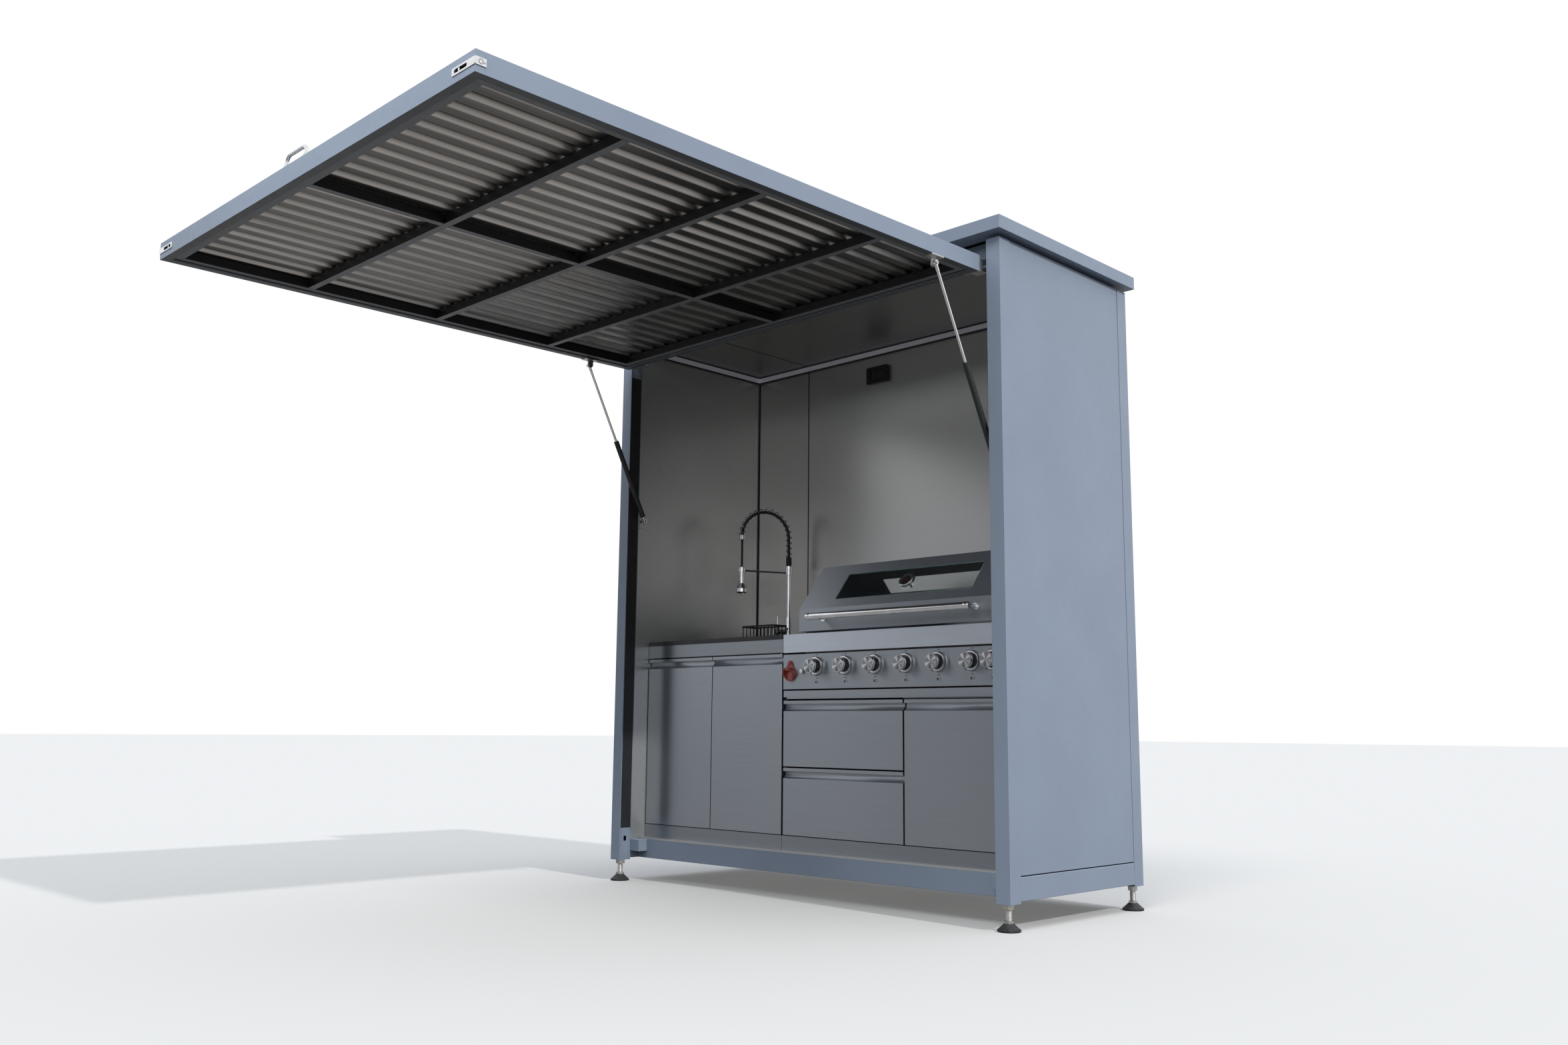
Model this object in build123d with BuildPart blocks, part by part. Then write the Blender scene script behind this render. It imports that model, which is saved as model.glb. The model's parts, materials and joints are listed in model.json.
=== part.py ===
"""Outdoor barbecue kitchen: a steel cabinet on levelling feet whose front folds up as a canopy.

Inside stand a sink unit and a built-in gas grill with a hood, knobs, drawers and doors.
Millimetres. X runs to the right, Y to the back, Z up, and the floor is Z = 0. The origin lies
on the floor under the middle of the whole unit with its canopy open.
"""
import os
from math import atan2, cos, degrees, radians, sin

from build123d import *

os.makedirs("parts", exist_ok=True)

# Cabinet frame
post_span = 2000.0
body_depth = 821.0
post_width = 55.0
post_depth = 59.0
post_wall = 3.0
end_plate = 8.0
post_bottom = 85.0
weld_gap = 0.2
tube_wall = 3.0

# Base, floor and feet
beam_bottom = 92.0
beam_height = 75.0
beam_depth = 45.0
floor_thick = 7.0
stop_width = 56.0
stop_height = 47.0
stop_gap = 0.6
stud_r = 10.0
nut_flats = 32.0
nut_height = 16.0
pad_r = 38.0
pad_height = 26.0
pad_rim = 7.0

# Canopy that closes the front
canopy_length = 1983.0
canopy_thick = 57.0
canopy_side_gap = 9.4
canopy_droop = 0.75
canopy_closed_bottom = 156.5
frame_tube = 28.0
frame_wall = 2.0
seal_width = 4.0
seal_set_in = 2.0
grid_depth = 30.0
grid_set_in = 5.0
grid_bar = 25.5
grid_rows = 3
grid_first = 499.5
grid_last = 456.0
rib_pitch = 76.0
rib_height = 17.0
sheet_thick = 1.2
hinge_arm = 57.0
hinge_plate = 60.0
knuckle_r = 20.0
knuckle_width = 45.0
hinge_pin_r = 8.0
run_fit = 0.05

# Gas struts
strut_from_wall = 23.0
strut_wall_back = 73.5
strut_wall_drop = 686.5
strut_canopy_at = 223.0
strut_canopy_drop = 23.5
strut_tube_r = 10.5
strut_tube_start = 20.0
strut_tube_end = 367.0
strut_rod_r = 5.0
strut_eye_r = 9.0
strut_eye_half = 6.0
strut_pin_r = 4.0
moving_gap = 0.3

# Latch bolts and canopy handle
bolt_r = 5.0
bolt_length = 78.0
bolt_travel = 16.0
bolt_from_edge = 15.0
latch_leaf = 2.0
latch_long = 101.0
latch_short = 30.0
latch_height = 20.0
handle_span = 121.0
handle_rise = 39.5
handle_r = 5.7
handle_foot_r = 13.0
handle_foot = 16.0
handle_from_edge = 15.0

# Walls and roof
skin = 1.5
panel_depth = 26.0
panel_recess = 2.0
panel_gap = 4.0
back_wall_in = 35.0
seam_x = -620.0
seam_gap = 5.0
corner_gap = 8.0
ceiling_thick = 10.0
top_rail_height = 57.0
top_rail_width = 22.0
roof_gap = 14.0
hinge_cover = 86.5
roof_height = 47.0
roof_side = 25.5
roof_front = 35.5
roof_rear = 26.0
roof_lip = 76.0
light_height = 25.0
light_depth = 12.0
socket_x = -196.0
socket_drop = 117.0
socket_width = 120.0
socket_height = 76.0
socket_depth = 18.0

# Kitchen fronts
kitchen_back = 135.5
front_thick = 20.0
unit_gap = 1.5
door_gap = 4.0
kick_top = 226.0
door_bottom = 229.0
door_top = 915.0
drawer_split = 482.5
drawer_top = 734.0
right_cell_width = 485.5
pull_height = 40.0
pull_lip = 13.0
pull_depth = 14.0
fascia_bottom = 920.0
worktop_thick = 18.0
worktop_top = 990.0
door_pin_r = 3.0
door_pin_in = 13.0
pan_rim = 24.0
drawer_set_up = 14.0
drawer_length = 500.0
drawer_side_height = 185.0
runner_width = 16.0
runner_height = 12.0

# Sink, basket and tap
sink_from_side = 278.5
sink_back = 372.0
sink_width = 420.0
sink_length = 310.0
sink_depth = 180.0
sink_corner = 40.0
sink_flange = 18.0
drain_r = 22.0
drain_length = 110.0
drain_nut = 24.0
basket_shift = 33.0
basket_back = 588.0
basket_width = 204.0
basket_length = 88.0
basket_height = 88.0
basket_rim = 7.0
basket_wire = 3.0
tap_shift = 7.0
tap_back = 700.0
tap_turn = 23.0
tap_sleeve_r = 15.0
tap_sleeve_top = 1122.0
tap_column_r = 10.0
tap_column_top = 1311.0
tap_collar_r = 15.5
tap_collar_top = 1350.0
tap_spigot_r = 7.0
tap_arm_z = 1320.0
spout_reach = 226.0
spout_cuff_top = 1390.0
spout_cuff_r = 12.5
spring_r = 14.0
spring_wall = 3.0
spring_straight = 129.0
ferrule_height = 16.0
hose_r = 6.0
spray_top = 1338.0
spray_bottom = 1219.0
lever_z = 1054.0
lever_reach = 60.0

# Gas grill
grill_margin_left = 66.5
grill_margin_right = 53.5
deck_top = 989.0
deck_thick = 2.0
apron_bottom = 918.0
panel_bottom = 778.0
panel_top = 911.0
knob_z = 863.0
knob_in_left = 112.0
knob_in_right = 124.0
burner_count = 6
side_knob_in = 89.5
knob_r = 27.0
knob_stand = 46.0
knob_body = 13.0
knob_shaft_r = 4.0
knob_shaft_in = 15.0
bezel_r = 35.5
bezel_thick = 14.0
igniter_in = 103.5
igniter_z = 846.0
igniter_r = 8.0
igniter_travel = 5.0
opener_in = 39.5
opener_z = 848.0
box_width = 960.0
box_front = 190.0
box_back = 600.0
box_bottom = 792.0
box_wall = 2.0
burner_r = 14.0
burner_lip = 4.0
burner_wall = 2.0
pipe_r = 8.0
pipe_back = 170.0
pipe_end = 24.0
inlet_drop = 70.0
valve_width = 24.0
tamer_width = 96.0
tamer_height = 26.0
tamer_z = 906.0
grate_count = 4
grate_z = 950.0
grate_bar = 8.0
grate_bar_height = 14.0
grate_bars = 8
tray_bottom = 741.0
strip_bottom = 748.0
strip_top = 772.0
hood_overlap = 3.0
hood_front = 157.5
hood_bottom = 999.0
hood_band_top = 1085.0
hood_top_front = 299.5
hood_top_z = 1262.0
hood_top_back = 430.0
hood_back = 572.0
hood_back_z = 1110.0
hood_wall = 2.0
hood_pivot_back = 556.0
hood_pivot_z = 1022.0
hood_pin_r = 5.0
window_side = 162.0
window_low = 1118.0
window_high = 1222.0
glass_thick = 4.0
glass_margin = 16.0
gauge_r = 32.0
grip_back = 90.0
grip_z = 1048.0
grip_r = 12.5
grip_side = 101.0
grip_round = 3.0
grip_rose = 3.0
grip_inset = 26.0

# Places worked out from the driving dimensions
inner_x = post_span / 2 - post_width
half_span = post_span / 2
beam_top = beam_bottom + beam_height
floor_top = beam_top + floor_thick
back_wall_back = body_depth - back_wall_in
hinge_offset = canopy_thick / 2
hinge_inset = canopy_thick - hinge_offset
hinge_z = canopy_closed_bottom + canopy_length + hinge_arm
post_top = hinge_z + hinge_cover
roof_bottom = post_top + roof_gap
ceiling_z = roof_bottom - ceiling_thick
canopy_half = inner_x - canopy_side_gap
strut_x = inner_x - strut_from_wall
strut_wall_z = hinge_z - strut_wall_drop
socket_z = ceiling_z - socket_drop
grill_right = inner_x - unit_gap
box_x = (grill_right - grill_margin_right - box_width, grill_right - grill_margin_right)
grill_x = (box_x[0] + box_x[1]) / 2
grill_left = box_x[0] - grill_margin_left
sink_left = -inner_x + unit_gap
sink_right = grill_left - unit_gap
sink_x = sink_left + sink_from_side
basket_x = sink_x - basket_shift
tap_x = sink_x + tap_shift
drawer_right = grill_right - right_cell_width
knob_first_x = box_x[0] + knob_in_left
knob_pitch = (box_width - knob_in_left - knob_in_right) / (burner_count - 1)
side_knob_x = grill_right - side_knob_in
igniter_x = grill_left + igniter_in
opener_x = grill_left + opener_in
hood_width = box_width + 2 * hood_overlap
window_width = hood_width - 2 * window_side
grip_length = hood_width - 2 * grip_side
droop = radians(canopy_droop)
reach_rel = (
    hinge_inset
    - (hinge_arm + canopy_length + latch_leaf) * cos(droop)
    + (hinge_offset - canopy_thick / 2 - latch_height / 2) * sin(droop)
)
front_y = -(reach_rel + body_depth + roof_rear) / 2


def behind(distance):
    """The Y of a place a distance behind the front faces of the posts."""
    return front_y + distance


out_dir = Vector(0, -cos(droop), -sin(droop))
up_dir = Vector(0, -sin(droop), cos(droop))
hinge_point = Vector(0, behind(hinge_inset), hinge_z)
canopy_origin = hinge_point + out_dir * hinge_arm - up_dir * hinge_offset


def canopy_flat(rise):
    """Plane parallel to the canopy: local X to the right, local Y to the hinge, at a height."""
    return Plane(origin=canopy_origin + up_dir * rise, x_dir=(1, 0, 0), z_dir=up_dir)


def canopy_side(x):
    """Plane across the canopy at an X: local X to the hinge, local Y up through the thickness."""
    return Plane(origin=canopy_origin + Vector(x, 0, 0), x_dir=out_dir * -1, z_dir=(1, 0, 0))


def canopy_run(distance):
    """Plane facing out along the canopy, at a distance from its hinge end."""
    return Plane(origin=canopy_origin + out_dir * distance, x_dir=(1, 0, 0), z_dir=out_dir)


def front_plane(distance):
    """Plane facing the front, a distance behind the posts: local X to the right, local Y up."""
    return Plane.XZ.offset(-behind(distance))


def block(x, y, z, mode=Mode.ADD):
    """A rectangular piece between two limits on each axis, with y counted behind the posts."""
    with BuildSketch(Plane.XY.offset(z[0])) as outline:
        with Locations(((x[0] + x[1]) / 2, behind((y[0] + y[1]) / 2))):
            Rectangle(x[1] - x[0], y[1] - y[0])
    extrude(outline.sketch, amount=z[1] - z[0], mode=mode)


def both(low, high):
    """The same limits on the right and mirrored on the left."""
    return ((low, high), (-high, -low))


def tube_along_x(x, y, z, wall):
    """A rectangular tube that runs left to right."""
    with BuildSketch(Plane.YZ.offset(x[0])) as outline:
        with Locations((behind((y[0] + y[1]) / 2), (z[0] + z[1]) / 2)):
            Rectangle(y[1] - y[0], z[1] - z[0])
            Rectangle(y[1] - y[0] - 2 * wall, z[1] - z[0] - 2 * wall, mode=Mode.SUBTRACT)
    extrude(outline.sketch, amount=x[1] - x[0])


def tube_along_y(x, y, z, wall):
    """A rectangular tube that runs front to back."""
    with BuildSketch(front_plane(y[1])) as outline:
        with Locations(((x[0] + x[1]) / 2, (z[0] + z[1]) / 2)):
            Rectangle(x[1] - x[0], z[1] - z[0])
            Rectangle(x[1] - x[0] - 2 * wall, z[1] - z[0] - 2 * wall, mode=Mode.SUBTRACT)
    extrude(outline.sketch, amount=y[1] - y[0])


def rod_x(x, y, z, radius, mode=Mode.ADD):
    """A round rod that runs left to right."""
    with BuildSketch(Plane.YZ.offset(x[0])) as outline:
        with Locations((behind(y), z)):
            Circle(radius)
    extrude(outline.sketch, amount=x[1] - x[0], mode=mode)


def rod_y(x, y, z, radius, mode=Mode.ADD):
    """A round rod that runs front to back."""
    with BuildSketch(front_plane(y[1])) as outline:
        with Locations((x, z)):
            Circle(radius)
    extrude(outline.sketch, amount=y[1] - y[0], mode=mode)


def rod_z(x, y, z, radius, mode=Mode.ADD):
    """A round rod that stands upright."""
    with BuildSketch(Plane.XY.offset(z[0])) as outline:
        with Locations((x, behind(y))):
            Circle(radius)
    extrude(outline.sketch, amount=z[1] - z[0], mode=mode)


def save(piece, name):
    """Label a finished piece and write it."""
    piece.part.label = name
    export_step(piece.part, f"parts/{name}.step")


# Posts, with end plates, foot holes, latch slots and the hinge pins that stand in them
post_x = half_span - post_width / 2
post_backs = (post_depth / 2, body_depth - post_depth / 2)
post_places = [(side * post_x, back) for side in (-1, 1) for back in post_backs]
bolt_closed_z = canopy_closed_bottom + bolt_from_edge
knuckle_mid = canopy_half - hinge_plate / 2
knuckle_x = (knuckle_mid - knuckle_width / 2, knuckle_mid + knuckle_width / 2)
pin_head = 4.0
with BuildPart() as posts:
    with BuildSketch(Plane.XY.offset(post_bottom)):
        with Locations(*[(x, behind(back)) for x, back in post_places]):
            Rectangle(post_width, post_depth)
            Rectangle(post_width - 2 * post_wall, post_depth - 2 * post_wall, mode=Mode.SUBTRACT)
    extrude(amount=post_top - post_bottom)
    for low in (post_bottom, post_top - end_plate):
        with BuildSketch(Plane.XY.offset(low)):
            with Locations(*[(x, behind(back)) for x, back in post_places]):
                Rectangle(post_width, post_depth)
        extrude(amount=end_plate)
    for x, back in post_places:
        rod_z(x, back, (post_bottom, post_bottom + end_plate), stud_r + run_fit, Mode.SUBTRACT)
    for wall_x in both(inner_x, inner_x + post_wall):
        rod_x(wall_x, hinge_inset, hinge_z, hinge_pin_r + run_fit, Mode.SUBTRACT)
        slot_back = (canopy_thick / 2 - bolt_r - 2, canopy_thick / 2 + bolt_r + 2)
        slot_z = (bolt_closed_z - bolt_r - 5, bolt_closed_z + bolt_r + 5)
        block(wall_x, slot_back, slot_z, Mode.SUBTRACT)
    for side in (-1, 1):
        head_x = knuckle_x[0] - stop_gap
        pin_ends = sorted((side * (head_x - pin_head), side * (inner_x + post_width / 2)))
        rod_x(pin_ends, hinge_inset, hinge_z, hinge_pin_r)
        rod_x(sorted((side * head_x, side * (head_x - pin_head))), hinge_inset, hinge_z, hinge_pin_r * 1.5)
save(posts, "posts")

# Base frame: side beams, front and rear beams, floor joists and the canopy's stop blocks
beam_front = canopy_thick + stop_gap + beam_depth + weld_gap
rear_beam_back = body_depth - post_depth - weld_gap
beam_z = (beam_bottom, beam_top)
with BuildPart() as base_frame:
    for beam_x in both(inner_x, half_span):
        tube_along_y(beam_x, (post_depth + weld_gap, rear_beam_back), beam_z, tube_wall)
    beam_span = (-inner_x + weld_gap, inner_x - weld_gap)
    front_beam_y = (beam_front, beam_front + beam_depth)
    rear_beam_y = (rear_beam_back - beam_depth, rear_beam_back)
    tube_along_x(beam_span, front_beam_y, beam_z, tube_wall)
    tube_along_x(beam_span, rear_beam_y, beam_z, tube_wall)
    joist_y = (front_beam_y[1] + weld_gap, rear_beam_y[0] - weld_gap)
    for joist_x in (-inner_x / 3, inner_x / 3):
        tube_along_y((joist_x - beam_depth / 2, joist_x + beam_depth / 2), joist_y, beam_z, tube_wall)
    for stop_x in both(inner_x - stop_width, inner_x - weld_gap):
        block(stop_x, (canopy_thick + stop_gap, beam_front - weld_gap), (beam_top - stop_height, beam_top))
save(base_frame, "base_frame")

with BuildPart() as floor_panel:
    floor_x = (-inner_x + unit_gap, inner_x - unit_gap)
    floor_y = (beam_front, back_wall_back + skin)
    floor_rim = beam_depth / 2
    block(floor_x, floor_y, (beam_top, floor_top))
    block(
        (floor_x[0] + floor_rim, floor_x[1] - floor_rim),
        (floor_y[0] + floor_rim, floor_y[1] - floor_rim),
        (beam_top, floor_top - skin),
        Mode.SUBTRACT,
    )
save(floor_panel, "floor_panel")

# Levelling feet: studs with a hex collar and a lock nut, on rubber pads
stud_top = post_bottom + end_plate + nut_height
collar_z = (pad_height, pad_height + nut_height / 2)
with BuildPart() as foot_studs:
    for x, back in post_places:
        rod_z(x, back, (pad_rim + skin, stud_top), stud_r)
        with BuildSketch(Plane.XY.offset(collar_z[0])):
            with Locations((x, behind(back))):
                RegularPolygon(nut_flats * 0.45, 6, major_radius=False)
        extrude(amount=collar_z[1] - collar_z[0])
    with BuildSketch(Plane.XY.offset(post_bottom - nut_height)):
        with Locations(*[(x, behind(back)) for x, back in post_places]):
            RegularPolygon(nut_flats / 2, 6, major_radius=False)
    extrude(amount=nut_height)
save(foot_studs, "foot_studs")

with BuildPart() as foot_pads:
    for x, back in post_places:
        with BuildSketch(Plane(origin=(x, behind(back), 0), x_dir=(1, 0, 0), z_dir=(0, -1, 0))) as side:
            with BuildLine():
                Polyline((0, 0), (pad_r - 2, 0), (pad_r, 2), (pad_r, pad_rim))
                Line((pad_r, pad_rim), (pad_r - 6, pad_rim + 4))
                Line((pad_r - 6, pad_rim + 4), (stud_r + 6, pad_height))
                Polyline((stud_r + 6, pad_height), (stud_r + run_fit, pad_height))
                Polyline((stud_r + run_fit, pad_height), (stud_r + run_fit, pad_rim), (0, pad_rim), (0, 0))
            make_face()
        revolve(side.sketch, axis=Axis((x, behind(back), 0), (0, 0, 1)))
save(foot_pads, "foot_pads")

# Outer panels: folded trays between the posts
panel_y = (post_depth + weld_gap, rear_beam_back)
panel_z = (beam_top + panel_gap, post_top)
with BuildPart() as side_panels:
    for side in (-1, 1):
        outer = half_span - panel_recess
        x = sorted((side * outer, side * (outer - panel_depth)))
        pocket = sorted((side * (outer - skin), side * (outer - panel_depth)))
        block(x, panel_y, panel_z)
        inner_y = (panel_y[0] + skin, panel_y[1] - skin)
        block(pocket, inner_y, (panel_z[0] + skin, panel_z[1] - skin), Mode.SUBTRACT)
save(side_panels, "side_panels")

rear_skin_back = body_depth - panel_recess
header_z = (roof_bottom - top_rail_height, roof_bottom)
rear_panel_x = (-inner_x + weld_gap, inner_x - weld_gap)
rear_panel_y = (rear_skin_back - panel_depth + 2 * skin, rear_skin_back)
rear_panel_z = (beam_bottom, header_z[0] - weld_gap)
with BuildPart() as rear_panel:
    block(rear_panel_x, rear_panel_y, rear_panel_z)
    block(
        (rear_panel_x[0] + skin, rear_panel_x[1] - skin),
        (rear_panel_y[0], rear_panel_y[1] - skin),
        (rear_panel_z[0] + skin, rear_panel_z[1] - skin),
        Mode.SUBTRACT,
    )
save(rear_panel, "rear_panel")

# Top frame: front and rear headers and two side rails that carry the roof
front_header_y = (post_depth + stop_gap, post_depth + stop_gap + beam_depth)
liner_back = back_wall_back + skin
with BuildPart() as top_frame:
    tube_along_x(rear_panel_x, front_header_y, header_z, tube_wall)
    tube_along_x(rear_panel_x, (liner_back + weld_gap, rear_skin_back), header_z, tube_wall)
    for rail_x in both(inner_x + 2 * skin, inner_x + 2 * skin + top_rail_width):
        tube_along_y(rail_x, panel_y, header_z, tube_wall)
save(top_frame, "top_frame")

# Roof cap: a folded tray with a closed rim below its overhang
with BuildPart() as roof_cap:
    roof_x = (-half_span - roof_side, half_span + roof_side)
    roof_y = (-roof_front, body_depth + roof_rear)
    roof_z = (roof_bottom, roof_bottom + roof_height)
    block(roof_x, roof_y, roof_z)
    block(
        (roof_x[0] + skin, roof_x[1] - skin),
        (roof_y[0] + skin, roof_y[1] - skin),
        (roof_z[0] + skin, roof_z[1] - skin),
        Mode.SUBTRACT,
    )
    block(
        (roof_x[0] + roof_lip, roof_x[1] - roof_lip),
        (roof_y[0] + roof_lip, roof_y[1] - roof_lip),
        (roof_z[0], roof_z[0] + skin),
        Mode.SUBTRACT,
    )
save(roof_cap, "roof_cap")

# Inner lining: side sheets with corner strips and the struts' plates, two back sheets, two ceiling trays
sheet_spans = ((-inner_x + weld_gap, seam_x - seam_gap / 2), (seam_x + seam_gap / 2, inner_x - weld_gap))
bracket_plate = 4.0
wall_plate_face = inner_x - bracket_plate
with BuildPart() as wall_liners:
    for liner_x in both(inner_x, inner_x + skin):
        block(liner_x, panel_y, (beam_top, ceiling_z))
    for span in sheet_spans:
        block(span, (back_wall_back, liner_back), (floor_top, ceiling_z))
    for strip_x in both(inner_x - unit_gap + weld_gap, inner_x - weld_gap):
        strip_y = (rear_beam_back - corner_gap, back_wall_back - corner_gap)
        block(strip_x, strip_y, (floor_top + weld_gap, ceiling_z - light_height - weld_gap))
    for low, high in both(wall_plate_face, inner_x - weld_gap):
        with BuildSketch(Plane.YZ.offset(low)) as plate:
            with Locations((behind(strut_wall_back), strut_wall_z)):
                RectangleRounded(26, 60, 6)
        extrude(plate.sketch, amount=high - low)
save(wall_liners, "wall_liners")

ceiling_y = (front_header_y[1] + weld_gap, liner_back)
with BuildPart() as ceiling_panels:
    for span in sheet_spans:
        block(span, ceiling_y, (ceiling_z, roof_bottom))
        tray_x = (span[0] + skin, span[1] - skin)
        tray_y = (ceiling_y[0] + skin, ceiling_y[1] - skin)
        block(tray_x, tray_y, (ceiling_z + skin, roof_bottom), Mode.SUBTRACT)
save(ceiling_panels, "ceiling_panels")

# Light channels along the tops of the walls
light_z = (ceiling_z - light_height, ceiling_z)
with BuildPart() as light_strips:
    light_span = inner_x - light_depth - weld_gap
    block((-light_span, light_span), (back_wall_back - light_depth, back_wall_back), light_z)
    for light_x in both(inner_x - light_depth, inner_x):
        block(light_x, (ceiling_y[0], back_wall_back), light_z)
    fillet(light_strips.edges().filter_by(Axis.X).group_by(Axis.Z)[0].group_by(Axis.Y)[0], light_depth / 3)
save(light_strips, "light_strips")

# Wall socket with a sunken face
with BuildPart() as wall_socket:
    with BuildSketch(front_plane(back_wall_back)):
        with Locations((socket_x, socket_z)):
            RectangleRounded(socket_width, socket_height, 8)
    extrude(amount=socket_depth)
    with BuildSketch(front_plane(back_wall_back - socket_depth)):
        with Locations((socket_x, socket_z)):
            RectangleRounded(socket_width * 0.62, socket_height * 0.6, 5)
    extrude(amount=-socket_depth * 0.4, mode=Mode.SUBTRACT)
save(wall_socket, "wall_socket")

# Canopy frame: front and rear beams over the full width, side beams between them
hinge_plate_x = (canopy_half - hinge_plate, canopy_half)
with BuildPart() as canopy_frame:
    for low in (-canopy_length, -frame_tube):
        with BuildSketch(canopy_side(-canopy_half)):
            with Locations((low + frame_tube / 2, canopy_thick / 2)):
                Rectangle(frame_tube, canopy_thick)
                Rectangle(frame_tube - 2 * frame_wall, canopy_thick - 2 * frame_wall, mode=Mode.SUBTRACT)
        extrude(amount=2 * canopy_half)
    for cap_x in both(canopy_half - frame_wall, canopy_half):
        with BuildSketch(canopy_side(cap_x[0])):
            for low in (-canopy_length, -frame_tube):
                with Locations((low + frame_tube / 2, canopy_thick / 2)):
                    Rectangle(frame_tube, canopy_thick)
            with Locations((bolt_from_edge - canopy_length, canopy_thick / 2)):
                Circle(bolt_r + run_fit, mode=Mode.SUBTRACT)
        extrude(amount=frame_wall)
    slot_centre = canopy_half - latch_long * 0.6
    slot_long = bolt_travel + 8 * bolt_r
    with BuildSketch(canopy_run(canopy_length)):
        for side in (-1, 1):
            with Locations((side * slot_centre, canopy_thick / 2)):
                SlotOverall(slot_long, 2 * bolt_r)
    extrude(amount=-frame_wall, mode=Mode.SUBTRACT)
    with BuildSketch(canopy_run(frame_tube + weld_gap)):
        for side in (-1, 1):
            with Locations((side * (canopy_half - frame_tube / 2), canopy_thick / 2)):
                Rectangle(frame_tube, canopy_thick)
                Rectangle(frame_tube - 2 * frame_wall, canopy_thick - 2 * frame_wall, mode=Mode.SUBTRACT)
    extrude(amount=canopy_length - 2 * frame_tube - 2 * weld_gap)
save(canopy_frame, "canopy_frame")

# Black grid that carries the sheet, with a seal strip round it inside the frame
seal_half = canopy_half - frame_tube - weld_gap
seal_low = weld_gap + frame_tube
seal_long = canopy_length - 2 * seal_low
grid_half = seal_half - seal_width - weld_gap
grid_end = seal_low + seal_width + weld_gap
grid_long = canopy_length - 2 * grid_end
grid_wall = 2.0
grid_pitch = (canopy_length - grid_first - grid_last) / (grid_rows - 1)
grid_places = [grid_first + row * grid_pitch - canopy_length for row in range(grid_rows)]
spine_starts = [grid_end + grid_bar - canopy_length] + [place + grid_bar / 2 for place in grid_places]
spine_ends = [place - grid_bar / 2 for place in grid_places] + [-grid_end - grid_bar]


def grid_bars(inset):
    """All bars of the grid on the current sketch, drawn smaller all round by an inset."""
    across = 2 * (grid_half - grid_bar - weld_gap)
    for side in (-1, 1):
        with Locations((side * (grid_half - grid_bar / 2), -canopy_length / 2)):
            Rectangle(grid_bar - 2 * inset, grid_long - 2 * inset)
    for middle in [-grid_end - grid_bar / 2, grid_end + grid_bar / 2 - canopy_length] + grid_places:
        with Locations((0, middle)):
            Rectangle(across - 2 * inset, grid_bar - 2 * inset)
    for start, end in zip(spine_starts, spine_ends):
        with Locations((0, (start + end) / 2)):
            Rectangle(grid_bar - 2 * inset, end - start - 2 * weld_gap - 2 * inset)


with BuildPart() as canopy_grid:
    with BuildSketch(canopy_flat(grid_set_in)):
        grid_bars(0)
    extrude(amount=grid_depth)
    with BuildSketch(canopy_flat(grid_set_in + grid_wall)):
        grid_bars(grid_wall)
    extrude(amount=grid_depth, mode=Mode.SUBTRACT)
    for side in (-1, 1):
        with BuildSketch(canopy_flat(seal_set_in)):
            with Locations((side * (seal_half - seal_width / 2), -canopy_length / 2)):
                Rectangle(seal_width, seal_long)
        extrude(amount=grid_depth)
    seal_across = 2 * (seal_half - seal_width - weld_gap)
    for middle in (-seal_low - seal_width / 2, seal_low + seal_width / 2 - canopy_length):
        with BuildSketch(canopy_flat(seal_set_in)):
            with Locations((0, middle)):
                Rectangle(seal_across, seal_width)
        extrude(amount=grid_depth)
save(canopy_grid, "canopy_grid")

# Corrugated sheet: trapezoid ribs along the canopy
sheet_half = canopy_half - frame_tube - weld_gap
rib_count = int(2 * sheet_half // rib_pitch)
rib_start = -rib_count * rib_pitch / 2
sheet_low = grid_set_in + grid_depth + weld_gap
with BuildPart() as canopy_sheet:
    with BuildSketch(canopy_run(seal_low)):
        with BuildLine():
            crest = [(-sheet_half, sheet_low)]
            for rib in range(rib_count):
                foot = rib_start + rib * rib_pitch
                for share, level in ((0.22, 0), (0.36, 1), (0.64, 1), (0.78, 0)):
                    crest.append((foot + share * rib_pitch, sheet_low + level * rib_height))
            crest.append((sheet_half, sheet_low))
            Polyline(*crest)
            Line((sheet_half, sheet_low), (sheet_half, sheet_low + sheet_thick))
            Polyline(*[(x, w + sheet_thick) for x, w in reversed(crest)])
            Line((-sheet_half, sheet_low + sheet_thick), (-sheet_half, sheet_low))
        make_face()
    extrude(amount=seal_long)
save(canopy_sheet, "canopy_sheet")

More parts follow.
